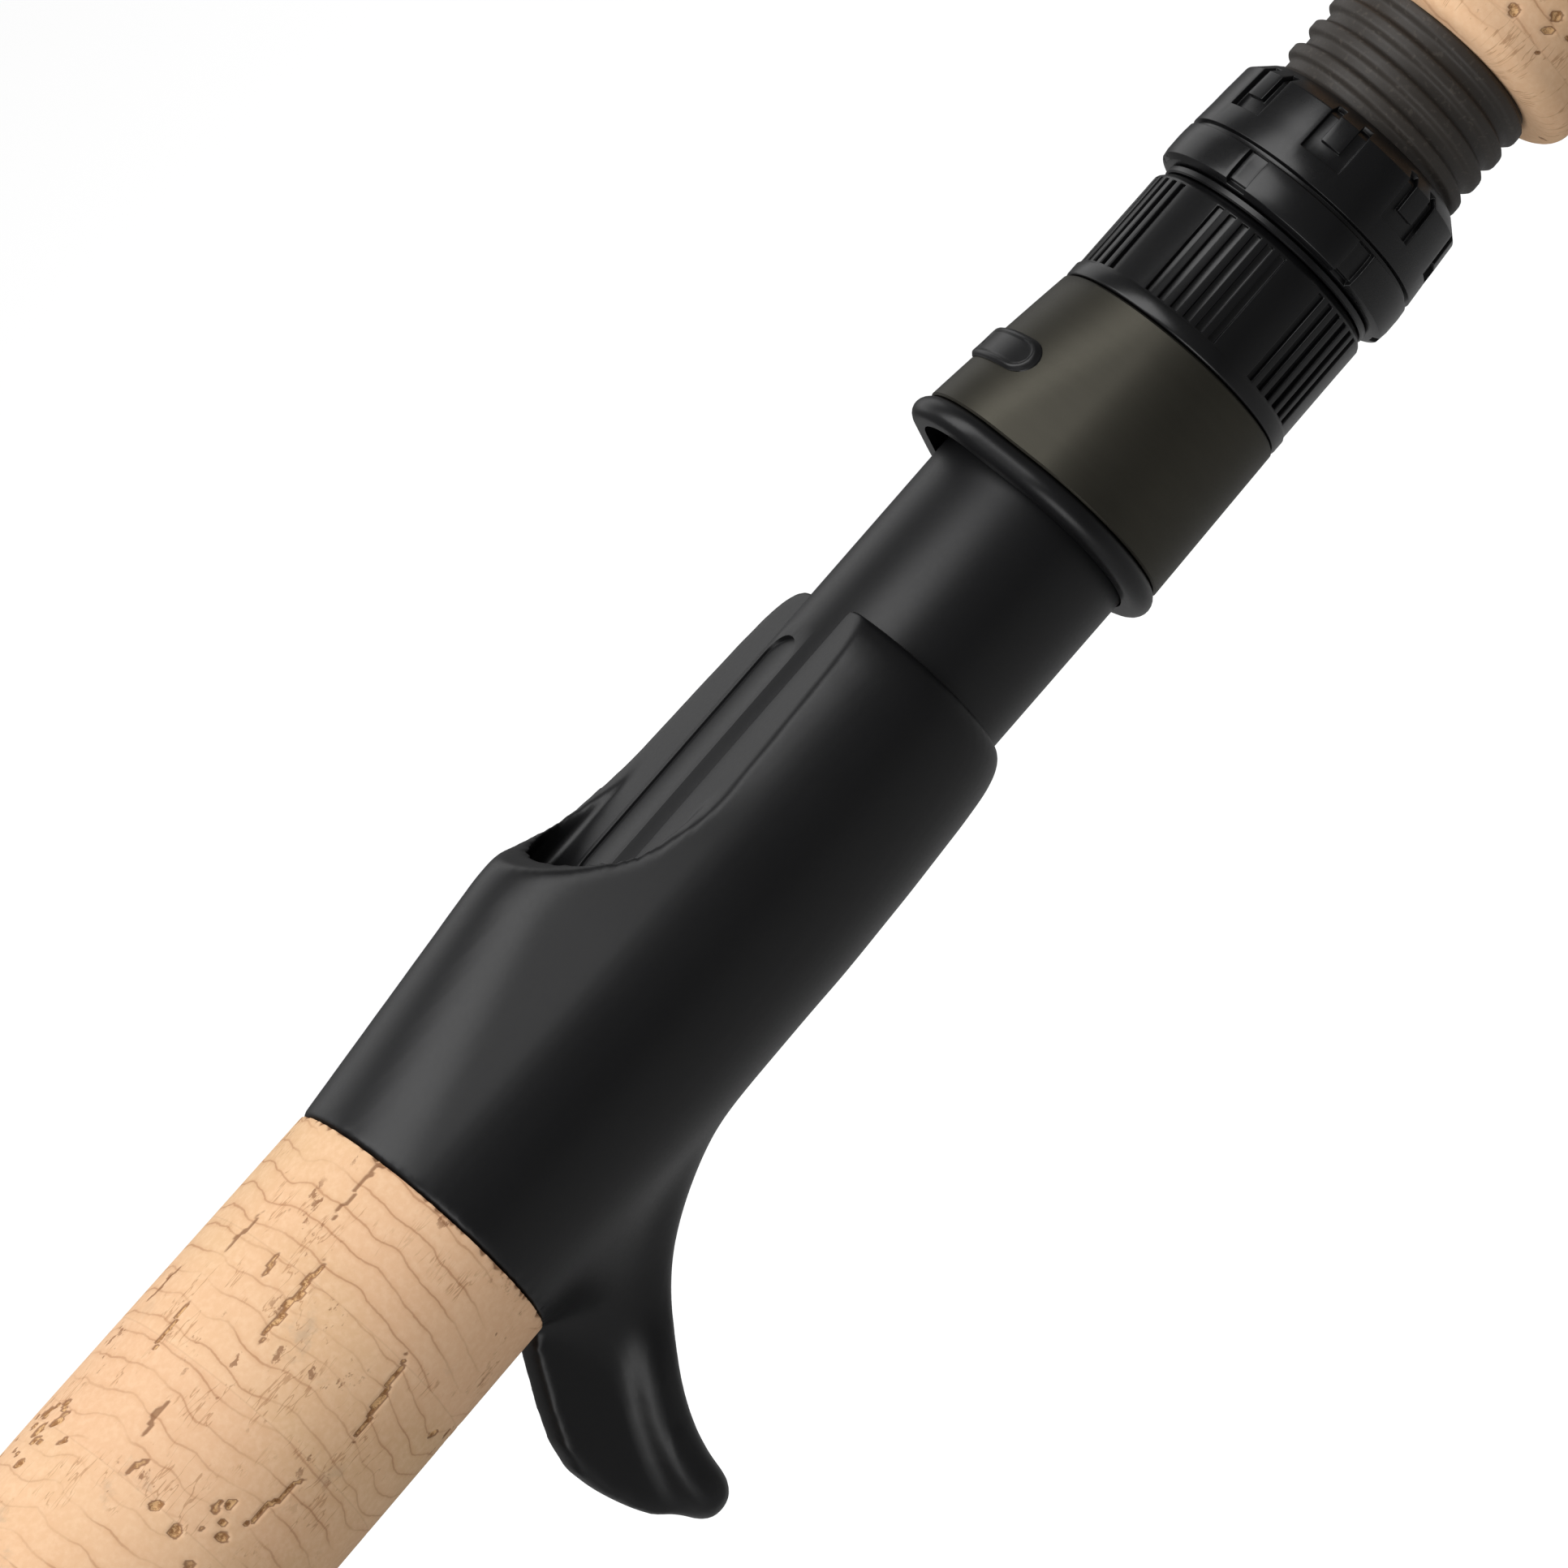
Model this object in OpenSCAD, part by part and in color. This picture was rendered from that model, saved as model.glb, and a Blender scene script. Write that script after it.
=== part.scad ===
// Casting rod with a trigger reel seat, lying along X with the reel side up.
// The origin is the centre of the butt's end face.

/* [Rod] */
// Overall length from the butt's end face to the tip
rod_len = 1680; // [1440:10:2200]
// Outer diameter of the blank at the butt
blank_butt_d = 13; // [11:0.1:15.6]
// Outer diameter of the blank at the tip
blank_tip_d = 2.2; // [1.8:0.1:3.2]
// Wall of the tubular blank
blank_wall = 0.7; // [0.4:0.05:0.8]

/* [Rear grip] */
// Length of one cork ring
cork_ring_len = 12.7; // [8:0.1:16]
// Number of cork rings in the rear grip
rear_ring_count = 19; // [12:1:28]
// Outer diameter of the straight rear grip
rear_grip_d = 30.8; // [30:0.1:37]
// Number of rings over which the grip narrows to the seat
taper_ring_count = 3; // [1:1:5]
// Thickness of the butt cap's end wall
cap_floor = 4; // [2:0.1:6]
// Thickness of the butt cap's side wall
cap_wall = 2; // [1.5:0.1:3]
// Edge radius of the butt cap
cap_edge = 3; // [1:0.1:3.5]

/* [Reel seat] */
// Outer diameter of the smooth barrel that the reel foot lies on
barrel_d = 22.5; // [20:0.1:27]
// Wall of the barrel round the bore that runs through the whole seat
barrel_wall = 2.95; // [2.4:0.05:3.6]
// Depth of the moulded body on the barrel where the rear grip ends
seat_rear_wall = 3.75; // [3:0.05:4.5]
// Height of the step where the moulded body ends on the barrel
front_step = 0.65; // [0.5:0.05:1]
// Length of the moulded rear body, up to the step on the barrel
body_len = 69.5; // [60:0.5:85]
// Length of the smooth barrel, from the rear end of the seat
barrel_len = 90; // [86:0.5:105]
// Length of the whole seat
seat_len = 148.5; // [140:0.5:180]
// Depth of the flat shoulders below the barrel's crown
shoulder_drop = 0.9; // [0.45:0.05:1.8]
// Distance from the seat's rear end to the lip of the fixed hood
lip_x = 29.5; // [26:0.5:36]
// Height of the fixed hood's lip above the barrel's crown
lip_h = 7.15; // [6:0.05:8.6]
// Radius of the hollow sweep from the lip down to the shoulders
sweep_r = 26; // [22:0.5:32]
// Depth of the fixed hood's pocket behind its lip
pocket_depth = 12; // [8:0.5:14]
// Clear width of the fixed hood's pocket
pocket_w = 17; // [14:0.5:18]
// Clear height of the pocket above the barrel's crown
pocket_h = 4.4; // [3.5:0.1:4.6]
// Width of the shallow slot in the barrel's crown
slot_w = 5.1; // [3:0.1:6]
// Length of the shallow slot in the barrel's crown
slot_len = 30.8; // [15:0.1:34]
// Depth of the shallow slot
slot_depth = 0.6; // [0.3:0.05:1]

/* [Trigger] */
// Distance from the seat's rear end to where the finger face leaves the body
trigger_face_x = 28; // [24:0.5:36]
// Depth of the trigger's tip below the moulded body
trigger_drop = 27; // [22:0.5:33]
// Width of the trigger's rounded front band
trigger_band_w = 9; // [7:0.1:12]
// Thickness of the trigger's rear web
trigger_web_w = 5.4; // [4:0.1:7]
// Depth of the front band behind the finger face
trigger_band_depth = 6; // [4:0.1:8]

/* [Thread] */
// Distance between two turns of the thread
thread_pitch = 3; // [2:0.1:4]
// Depth of the thread's crests below the barrel
thread_drop = 0.3; // [0.1:0.05:0.6]
// Depth of the thread
thread_depth = 0.7; // [0.4:0.05:1]

/* [Moving hood] */
// Distance from the seat's rear end to the hood's mouth
hood_x = 88; // [86:0.5:100]
// Length of the moving hood
hood_len = 20.4; // [17:0.1:26]
// Wall of the hood's round underside at the mouth
hood_wall = 1.95; // [1.6:0.05:2.4]
// Wall of the hood at its front end
hood_front_wall = 1.55; // [1.25:0.05:2]
// Height of the hood's top above the barrel's crown at the mouth
hood_top_h = 4.95; // [4.1:0.05:6]
// Radius of the hood's top at the mouth
hood_top_r = 8; // [6.6:0.1:9.6]
// Thickness of the metal band round the hood
band_wall = 0.7; // [0.5:0.05:1]
// Width of the rounded rim that stands out at the mouth
rim_w = 2.8; // [2:0.1:4]
// Radial clearance of the hood on the barrel
hood_clearance = 0.15; // [0.1:0.05:0.3]

/* [Nuts] */
// Length of the ribbed lock nut
lock_nut_len = 13.6; // [11:0.1:18]
// Wall of the lock nut, from its bore to the crests of its ribs
lock_nut_wall = 1.55; // [1.3:0.05:2]
// Length of the smooth flange at the rear of the lock nut
lock_flange_len = 2; // [1:0.1:4]
// Height of the lock nut's ribs
rib_h = 0.5; // [0.3:0.05:0.7]
// Number of groups of ribs round the lock nut
rib_groups = 6; // [4:1:8]
// Number of fine ribs in a group
ribs_per_group = 5; // [3:1:6]
// Thickness of the slip washer between the two nuts
washer_len = 0.8; // [0.5:0.1:1.5]
// Length of the jam nut
jam_nut_len = 13.4; // [11:0.1:16]
// Wall of the jam nut, from its bore to the top of its pads
jam_nut_wall = 2.45; // [2:0.05:3]
// Length of the padded zone at the rear of the jam nut
pad_zone_len = 4.4; // [3:0.1:6]
// Number of pads round the jam nut
pad_count = 6; // [4:1:8]
// Number of notches round the jam nut's front
notch_count = 8; // [6:1:10]
// Radial clearance of the nuts over the thread's crests
nut_clearance = 0.2; // [0.15:0.05:0.4]
// Axial gap between pieces that turn against each other
face_gap = 0.15; // [0.1:0.05:0.3]

/* [Fore grip] */
// Length of the cork fore grip
fore_grip_len = 63.5; // [40:0.5:90]
// Largest diameter of the fore grip
fore_grip_d = 28.6; // [26:0.1:32]
// Diameter of the fore grip at its front end
fore_grip_front_d = 17; // [15:0.1:20]
// Edge radius at the rear of the fore grip
fore_grip_edge = 2.4; // [1:0.1:3]
// Length of the winding check in front of the fore grip
check_len = 5; // [3:0.1:8]

/* [Guides] */
// Distances from the tip to each guide's ring
guide_from_tip = [95, 200, 315, 440, 575, 720, 880];
// Clear diameter of each guide's ring
guide_bore_d = [6, 6, 6, 6, 7, 8, 10];
// Thickness of the ceramic ring
ceramic_wall = 0.9; // [0.6:0.05:1.2]
// Thickness of the metal hoop round the ceramic ring
hoop_wall = 0.5; // [0.4:0.05:0.8]
// Length of a guide ring along the rod
ring_len = 1.8; // [1.4:0.1:2.4]
// Diameter of the wire that the guide frames are bent from
guide_wire_d = 1.1; // [0.9:0.05:1.4]
// Length of a guide's foot
foot_len = 11; // [8:0.5:15]
// Width of a guide's foot
foot_w = 2; // [1.6:0.1:2.6]
// Thickness of the thread wraps and their varnish
wrap_wall = 0.45; // [0.3:0.05:0.7]
// Length of the tip top's tube
tip_tube_len = 12; // [9:0.5:16]
// Wall of the tip top's tube
tip_tube_wall = 0.35; // [0.3:0.05:0.5]

/* [Hook keeper] */
// Distance from the winding check to the middle of the keeper
keeper_gap = 34; // [24:1:60]
// Length of the keeper's loop
keeper_len = 11; // [9:0.5:16]
// Height of the keeper's loop above the blank
keeper_h = 3.4; // [2.8:0.1:4.5]

/* [Hidden] */
GUIDES = len(guide_from_tip);
$fn = 96;

glue_gap = 0.05;            // gap that the glue fills round the blank and between cork rings
cut = 1;                    // how far a cutter runs past the face it cuts
trigger_tip_x = 2.4;        // front of the trigger's tip, from the seat's rear end
tip_round = 2.5;            // radius of the trigger's tip

rear_grip_r = rear_grip_d / 2;
barrel_r = barrel_d / 2;
seat_rear_r = barrel_r + seat_rear_wall;
seat_bore_r = barrel_r - barrel_wall;
shoulder_z = barrel_r - shoulder_drop;
lip_z = barrel_r + lip_h;
trigger_tip_z = seat_rear_r + trigger_drop;
seat_x = cap_floor + rear_ring_count * cork_ring_len;
taper_start = seat_x - taper_ring_count * cork_ring_len;
cap_len = cap_floor + cork_ring_len;
tenon_r = rear_grip_r - cap_wall;

hood_bore_r = barrel_r + hood_clearance;
hood_top_z = barrel_r + hood_top_h;
thread_r = barrel_r - thread_drop;
nut_bore_r = thread_r + nut_clearance;
lock_nut_r = nut_bore_r + lock_nut_wall;
lock_nut_x = hood_x + hood_len + face_gap;
washer_x = lock_nut_x + lock_nut_len + face_gap;
jam_nut_x = washer_x + washer_len + face_gap;
fore_grip_x = seat_x + seat_len;
check_x = fore_grip_x + fore_grip_len;
keeper_x = check_x + check_len + keeper_gap;
tip_ring_bore_r = guide_bore_d[0] / 2;

// Outer radius of the blank at a distance from the butt.
function blank_r(x) = (blank_butt_d + (blank_tip_d - blank_butt_d) * x / rod_len) / 2;

// Outline of two circles on one vertical line, the upper one dist above the axis, joined by tangents.
function egg(low_r, top_r, dist, count) =
    let (turn = dist > abs(low_r - top_r) ? acos((low_r - top_r) / dist) : 0)
    [for (i = [0:count - 1])
        let (a = 360 * i / count, side = min(a, 360 - a))
        side < turn ? [top_r * sin(a), dist + top_r * cos(a)] : [low_r * sin(a), low_r * cos(a)]];

// Value at x on the straight lines through a list of [x, value] points.
function along(points, x) =
    x <= points[0][0] ? points[0][1] :
    x >= points[len(points) - 1][0] ? points[len(points) - 1][1] :
    let (k = max([for (i = [0:len(points) - 2]) if (points[i][0] <= x) i]),
         a = points[k], b = points[k + 1])
    a[1] + (b[1] - a[1]) * (x - a[0]) / (b[0] - a[0]);

// Eased step from 0 to 1 between two stations.
function ease(x, from, to) =
    let (t = min(1, max(0, (x - from) / (to - from))))
    t * t * (3 - 2 * t);

// Solid through a row of outlines: stations holds [x, points in Y and Z], all with equal counts.
module loft(stations) {
    count = len(stations[0][1]);
    last = len(stations) - 1;
    points = [for (s = stations, p = s[1]) [s[0], p[0], p[1]]];
    sides = [for (k = [0:last - 1], i = [0:count - 1])
        let (a = k * count + i, b = k * count + (i + 1) % count)
        [a, b, b + count, a + count]];
    polyhedron(points, concat([[for (i = [count - 1:-1:0]) i]], sides,
                              [[for (i = [0:count - 1]) last * count + i]]), convexity = 8);
}

// Round bar or cone along X between two stations.
module bar(x0, x1, r0, r1) {
    translate([x0, 0, 0]) rotate([0, 90, 0]) cylinder(h = x1 - x0, r1 = r0, r2 = r1);
}

// Solid of revolution about X: points are [x, radius].
module lathe(points) {
    rotate([90, 0, 90]) rotate_extrude() polygon([for (p = points) [p[1], p[0]]]);
}

// Round wire between two points.
module wire(a, b, r) {
    d = b - a;
    translate(a) rotate([0, acos(d[2] / norm(d)), atan2(d[1], d[0])])
        cylinder(h = norm(d), r = r, $fn = 24);
}

// Brazed end or bend of a wire, a little fatter than the wire.
module bead(at, r) {
    translate(at) sphere(r = 1.15 * r, $fn = 24);
}

// The blank's outside with a radial gap, for cutting what sits on it.
module blank_cutter(x0, x1, gap) {
    bar(x0, x1, blank_r(x0) + gap, blank_r(x1) + gap);
}

// The blank runs from the butt cap's floor into the tip top's tube.
module blank() {
    end = tube_in + tip_tube_len * 0.8;
    color("dimgray") difference() {
        bar(cap_floor, end, blank_r(cap_floor), blank_r(end));
        bar(cap_floor - cut, end + cut, blank_r(cap_floor - cut) - blank_wall,
            blank_r(end + cut) - blank_wall);
    }
}

module butt_cap() {
    color("black") difference() {
        lathe(cap_outline());
        bar(cap_floor, cap_len + cut, tenon_r + glue_gap, tenon_r + glue_gap);
    }
}

// Half section of the cap: flat end, rounded edge, straight side.
function cap_outline() = concat(
    [[0, 0]],
    [for (a = [90:-10:0]) [cap_edge * (1 - sin(a)), rear_grip_r - cap_edge * (1 - cos(a))]],
    [[cap_len, rear_grip_r], [cap_len, 0]]);

// Outer radius of the rear grip.
function rear_r(x) = x <= taper_start ? rear_grip_r :
    rear_grip_r + (seat_rear_r - rear_grip_r) * (x - taper_start) / (seat_x - taper_start);

module rear_grip_rings() {
    color("burlywood") for (i = [0:rear_ring_count - 1]) {
        x0 = cap_floor + i * cork_ring_len + glue_gap;
        x1 = x0 + cork_ring_len - glue_gap;
        difference() {
            if (i == 0) bar(x0, x1, tenon_r, tenon_r);
            else bar(x0, x1, rear_r(x0), rear_r(x1));
            blank_cutter(x0 - cut, x1 + cut, glue_gap);
        }
    }
}

// Outer radius of the fore grip: a rounded rear edge, a swell and a long taper.
function fore_r(x) =
    let (t = x / fore_grip_len, edge = min(x, fore_grip_edge),
         round_off = fore_grip_edge - sqrt(max(0, pow(fore_grip_edge, 2) - pow(fore_grip_edge - edge, 2))))
    fore_grip_front_d / 2 + (fore_grip_d - fore_grip_front_d) / 2 * (1 - ease(t, 0.3, 1)) - round_off;

module fore_grip_rings() {
    count = ceil(fore_grip_len / cork_ring_len);
    pitch = fore_grip_len / count;
    len_each = pitch - glue_gap;
    steps = 6;
    color("burlywood") for (i = [0:count - 1]) {
        x0 = i * pitch + glue_gap;
        difference() {
            translate([fore_grip_x, 0, 0]) lathe(concat(
                [[x0, 0]],
                [for (k = [0:steps]) let (x = x0 + len_each * k / steps) [x, fore_r(x)]],
                [[x0 + len_each, 0]]));
            blank_cutter(fore_grip_x + x0 - cut, fore_grip_x + x0 + len_each + cut, glue_gap);
        }
    }
}

module winding_check() {
    rim = 1.2;
    color("silver") difference() {
        union() {
            bar(check_x, check_x + rim, fore_grip_front_d / 2, fore_grip_front_d / 2);
            bar(check_x + rim, check_x + check_len, fore_grip_front_d / 2 - rim / 2, blank_r(check_x) + rim);
        }
        blank_cutter(check_x - cut, check_x + check_len + cut, glue_gap);
    }
}

// Lower radius of the seat's rear body along its length.
function body_low_r(x) = seat_rear_r - (seat_rear_wall - front_step) * along([
    [0, 0], [body_len * 0.42, 0.16], [body_len * 0.6, 0.26], [body_len * 0.78, 0.34],
    [body_len - 4, 0.55], [body_len - 1.5, 0.68], [body_len - 0.5, 0.84], [body_len, 1]], x);

// How far the upper circle of the hood has risen: nothing at the ends, all at the lip.
function rise(x) = x < lip_x ? min(1, x / (lip_x - 2)) : 1 - ease(x, lip_x, lip_x + 22);

module seat_body() {
    steps = 23;
    top_r = seat_rear_r * 0.62;
    loft([for (k = [0:steps])
        let (x = body_len * k / steps, low = body_low_r(x), up = rise(x))
        [x, egg(low, low + (top_r - low) * up, (lip_z - top_r) * up, 48)]]);
}

// What is cut away over the shoulders: a hollow sweep down from the lip, then level.
module shoulder_cut() {
    foot_x = lip_x + sqrt(pow(sweep_r, 2) - pow(sweep_r - (lip_z - shoulder_z), 2));
    sweep = acos((sweep_r - (lip_z - shoulder_z)) / sweep_r);
    rotate([90, 0, 0]) linear_extrude(height = 4 * seat_rear_r, center = true)
        polygon(concat(
            [for (k = [0:12]) let (a = sweep * (1 - k / 12))
                [foot_x - sweep_r * sin(a), shoulder_z + sweep_r * (1 - cos(a))]],
            [[body_len + cut, shoulder_z], [body_len + cut, 2 * lip_z], [lip_x, 2 * lip_z]]));
}

// Room for the reel foot's end between the barrel's crown and the hood.
module foot_pocket(x0, x1, w, top_z) {
    translate([x0, 0, 0]) rotate([90, 0, 90]) linear_extrude(height = x1 - x0) difference() {
        intersection() {
            translate([0, top_z - w * 0.75]) circle(r = w * 0.75);
            translate([-w / 2, 0]) square([w, 2 * top_z]);
        }
        circle(r = barrel_r);
    }
}

// Point on the hollow finger face, moved back into the trigger by a depth; angle 90 is at the body.
function face_point(a, depth) =
    [trigger_face_x - (trigger_face_x - trigger_tip_x + depth) * pow(cos(a), 1.2),
     -trigger_tip_z + tip_round + (trigger_tip_z - tip_round - seat_rear_r + 0.7 + depth) * pow(sin(a), 1.2)];

// Rounded end of the trigger, from the finger face to the lowest point.
function tip_points() = [for (a = [15:15:90])
    [trigger_tip_x - tip_round * (1 - cos(a)), -trigger_tip_z + tip_round * (1 - sin(a))]];

// Wide band along the finger face.
function band_points() = concat(
    [for (a = [90:-7.5:0]) face_point(a, 0)], tip_points(),
    [for (a = [0:7.5:90]) face_point(a, trigger_band_depth)]);

// Thin web behind the band, which leans back under the rear grip and keeps clear of it.
function web_points() = concat(
    [for (a = [90:-7.5:0]) face_point(a, trigger_band_depth / 3)],
    [[trigger_tip_x - 6.2, -trigger_tip_z + 0.8], [trigger_tip_x - 7.7, -trigger_tip_z + 2],
     [trigger_tip_x - 9.5, -trigger_tip_z + 6.2], [trigger_tip_x - 10.5, -trigger_tip_z + 13],
     [trigger_tip_x - 8.9, -trigger_tip_z + 17], [trigger_tip_x - 4.8, -seat_rear_r - 0.9],
     [0, -seat_rear_r - 0.5], [0, 1 - seat_rear_r]]);

module trigger() {
    rotate([90, 0, 0]) linear_extrude(height = trigger_web_w, center = true) polygon(web_points());
    rotate([90, 0, 0]) linear_extrude(height = trigger_band_w, center = true) polygon(band_points());
}

// Helical thread: a circle whose centre runs round the axis once in each turn.
module thread(x0, x1) {
    steps_per_turn = 6;
    sides = 20;
    steps = ceil((x1 - x0) / thread_pitch * steps_per_turn);
    throw = thread_depth / 2;
    r = thread_r - throw;
    loft([for (k = [0:steps])
        let (x = x0 + (x1 - x0) * k / steps, turn = 360 * (x - x0) / thread_pitch)
        [x, [for (i = [0:sides - 1]) let (a = 360 * i / sides)
            [r * sin(a) - throw * sin(turn), r * cos(a) + throw * cos(turn)]]]]);
}

module reel_seat() {
    pocket_x = lip_x - pocket_depth;
    slot_x = lip_x + 4;
    color("dimgray") translate([seat_x, 0, 0]) difference() {
        union() {
            difference() {
                seat_body();
                shoulder_cut();
                foot_pocket(pocket_x, body_len, pocket_w, barrel_r + pocket_h);
            }
            trigger();
            bar(0, barrel_len, barrel_r, barrel_r);
            thread(barrel_len, seat_len);
        }
        bar(-cut, seat_len + cut, seat_bore_r, seat_bore_r);
        translate([slot_x, 0, barrel_r - slot_depth]) linear_extrude(height = cut + slot_depth) {
            translate([slot_w / 2, 0]) circle(d = slot_w);
            translate([slot_len - slot_w / 2, 0]) circle(d = slot_w);
            translate([slot_w / 2, -slot_w / 2]) square([slot_len - slot_w, slot_w]);
        }
    }
}

// Bushes that centre the blank in the seat's bore.
module seat_arbors() {
    count = 4;
    len_each = 16;
    color("tan") for (i = [0:count - 1]) {
        x0 = seat_x + 3 + i * (seat_len - 6 - len_each) / (count - 1);
        difference() {
            bar(x0, x0 + len_each, seat_bore_r - glue_gap, seat_bore_r - glue_gap);
            blank_cutter(x0 - cut, x0 + len_each + cut, glue_gap);
        }
    }
}

// Outline of the hood at a distance from its mouth, moved out by an offset.
function hood_outline(x, offset) =
    let (t = x / hood_len, low = hood_bore_r + hood_wall + (hood_front_wall - hood_wall) * t,
         top_r = hood_top_r + (low - hood_top_r) * t,
         dist = (hood_top_z - hood_top_r) * (1 - t))
    egg(low + offset, top_r + offset, dist, 72);

// Part of the hood's shape between two distances from its mouth.
module hood_shape(x0, x1, offset) {
    steps = 6;
    loft([for (k = [0:steps]) let (x = x0 + (x1 - x0) * k / steps) [hood_x + x, hood_outline(x, offset)]]);
}

// Rounded rim at the mouth.
module hood_rim() {
    proud = 0.5;
    half = rim_w / 2;
    loft([for (k = [0:10]) let (x = half * (1 - cos(18 * k)))
        [hood_x + x, hood_outline(x, proud - half + sqrt(max(0, pow(half, 2) - pow(x - half, 2))))]]);
}

// Upright plug with rounded ends, where the liner's boss stands through the band.
module boss_plug(gap) {
    boss_len = 4;
    boss_w = 11;
    r = boss_len / 2 + gap;
    translate([hood_x + hood_len / 2, 0, hood_bore_r]) linear_extrude(height = barrel_r) {
        for (side = [-1, 1]) translate([0, side * (boss_w - boss_len) / 2]) circle(r = r);
        square([2 * r, boss_w - boss_len], center = true);
    }
}

// The moulded liner carries the rim, the pocket for the reel foot and the boss.
module hood_liner() {
    liner_wall = 1.2;
    pocket_len = hood_len * 0.68;
    boss_h = 0.35;
    color("black") translate([seat_x, 0, 0]) difference() {
        union() {
            hood_rim();
            hood_shape(rim_w / 2, hood_len, -band_wall);
            intersection() {
                hood_shape(rim_w, hood_len, boss_h);
                boss_plug(0);
            }
        }
        hood_shape(-cut, pocket_len, -band_wall - liner_wall);
        bar(hood_x - cut, hood_x + hood_len + cut, hood_bore_r, hood_bore_r);
    }
}

module hood_band() {
    color("darkolivegreen") translate([seat_x, 0, 0]) difference() {
        hood_shape(rim_w, hood_len, 0);
        hood_shape(0, hood_len + cut, -band_wall);
        boss_plug(glue_gap);
    }
}

// Outline of the lock nut: groups of fine ribs with a wide land between two groups.
function rib_outline(root, crest) =
    let (group = 360 / rib_groups, pitch = 6.6, rib = 3.4, land_from = ribs_per_group * pitch + 1)
    [for (g = [0:rib_groups - 1], p = concat(
        [for (k = [0:ribs_per_group - 1], q = [[0, root], [0, crest], [rib, crest], [rib, root]])
            [k * pitch + q[0], q[1]]],
        [[land_from, root], [land_from, crest], [(land_from + group - 3) / 2, crest],
         [group - 3, crest], [group - 3, root]]))
        let (a = g * group + p[0]) [p[1] * cos(a), p[1] * sin(a)]];

module lock_nut() {
    crest = lock_nut_r;
    color("black") translate([seat_x + lock_nut_x, 0, 0]) difference() {
        union() {
            bar(0, lock_flange_len, crest + 0.2, crest + 0.2);
            translate([lock_flange_len / 2, 0, 0]) rotate([90, 0, 90])
                linear_extrude(height = lock_nut_len - lock_flange_len / 2 - 1)
                    polygon(rib_outline(crest - rib_h, crest));
            bar(lock_flange_len, lock_nut_len, crest - rib_h, crest - rib_h);
        }
        bar(-cut, lock_nut_len + cut, nut_bore_r, nut_bore_r);
    }
}

module slip_washer() {
    color("dimgray") translate([seat_x, 0, 0]) difference() {
        bar(washer_x, washer_x + washer_len, lock_nut_r - rib_h, lock_nut_r - rib_h);
        bar(washer_x - cut, washer_x + washer_len + cut, nut_bore_r, nut_bore_r);
    }
}

// Padded zone at the rear, then a collar with a chamfered front and notches round it.
module jam_nut() {
    pad_r = nut_bore_r + jam_nut_wall;
    pad_gap_w = 2.6;
    pad_h = 0.7;
    collar_r = pad_r - 0.2;
    front_r = pad_r - 0.7;
    chamfer = 1.6;
    notch_w = 5;
    notch_len = 4.6;
    notch_depth = 0.6;
    tongue_w = 2.6;
    line_w = 0.35;
    color("black") translate([seat_x + jam_nut_x, 0, 0]) difference() {
        union() {
            difference() {
                bar(0, pad_zone_len, pad_r, pad_r);
                for (i = [0:pad_count - 1]) rotate([360 * (i + 0.5) / pad_count, 0, 0])
                    translate([-cut, -pad_gap_w / 2, pad_r - pad_h])
                        cube([pad_zone_len + cut, pad_gap_w, pad_h + cut]);
            }
            bar(pad_zone_len - line_w, pad_zone_len + line_w, pad_r - pad_h, pad_r - pad_h);
            bar(pad_zone_len + line_w, jam_nut_len - chamfer, collar_r, front_r);
            bar(jam_nut_len - chamfer, jam_nut_len, front_r, front_r - chamfer);
        }
        for (i = [0:notch_count - 1]) rotate([360 * i / notch_count, 0, 0])
            translate([jam_nut_len - chamfer - notch_len, 0, front_r - notch_depth]) difference() {
                translate([0, -notch_w / 2, 0]) cube([notch_len + chamfer + cut, notch_w, 3]);
                translate([notch_len / 3, -tongue_w / 2, -cut]) cube([notch_len + chamfer, tongue_w, 6]);
            }
        bar(-cut, jam_nut_len + cut, nut_bore_r, nut_bore_r);
    }
}

// Sizes of one guide: ring radii, ring centre, and where its legs land on the blank.
function guide_x(i) = rod_len - guide_from_tip[i];
function ceramic_r(i) = guide_bore_d[i] / 2 + ceramic_wall;
function hoop_r(i) = ceramic_r(i) + hoop_wall;
function ring_z(i) = blank_r(guide_x(i)) + hoop_r(i) + guide_bore_d[i] * 0.42;
function leg_run(i) = guide_bore_d[i] * 1.1 + 3;

// Flat ring about X.
module flat_ring(x, z, len, outer, inner) {
    translate([x - len / 2, 0, z]) rotate([0, 90, 0]) difference() {
        cylinder(h = len, r = outer);
        translate([0, 0, -cut]) cylinder(h = len + 2 * cut, r = inner);
    }
}

// Foot that lies on the blank and thins towards its end; way is -1 for the butt side.
module guide_foot(x, way) {
    heel = 1;
    toe = 0.35;
    top = blank_r(x) + heel;
    translate([x, 0, 0]) rotate([90, 0, 0]) linear_extrude(height = foot_w, center = true)
        polygon([[0, 0], [0, top], [way * 1.5, top], [way * foot_len, blank_r(x + way * foot_len) + toe],
                 [way * foot_len, 0]]);
}

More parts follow.
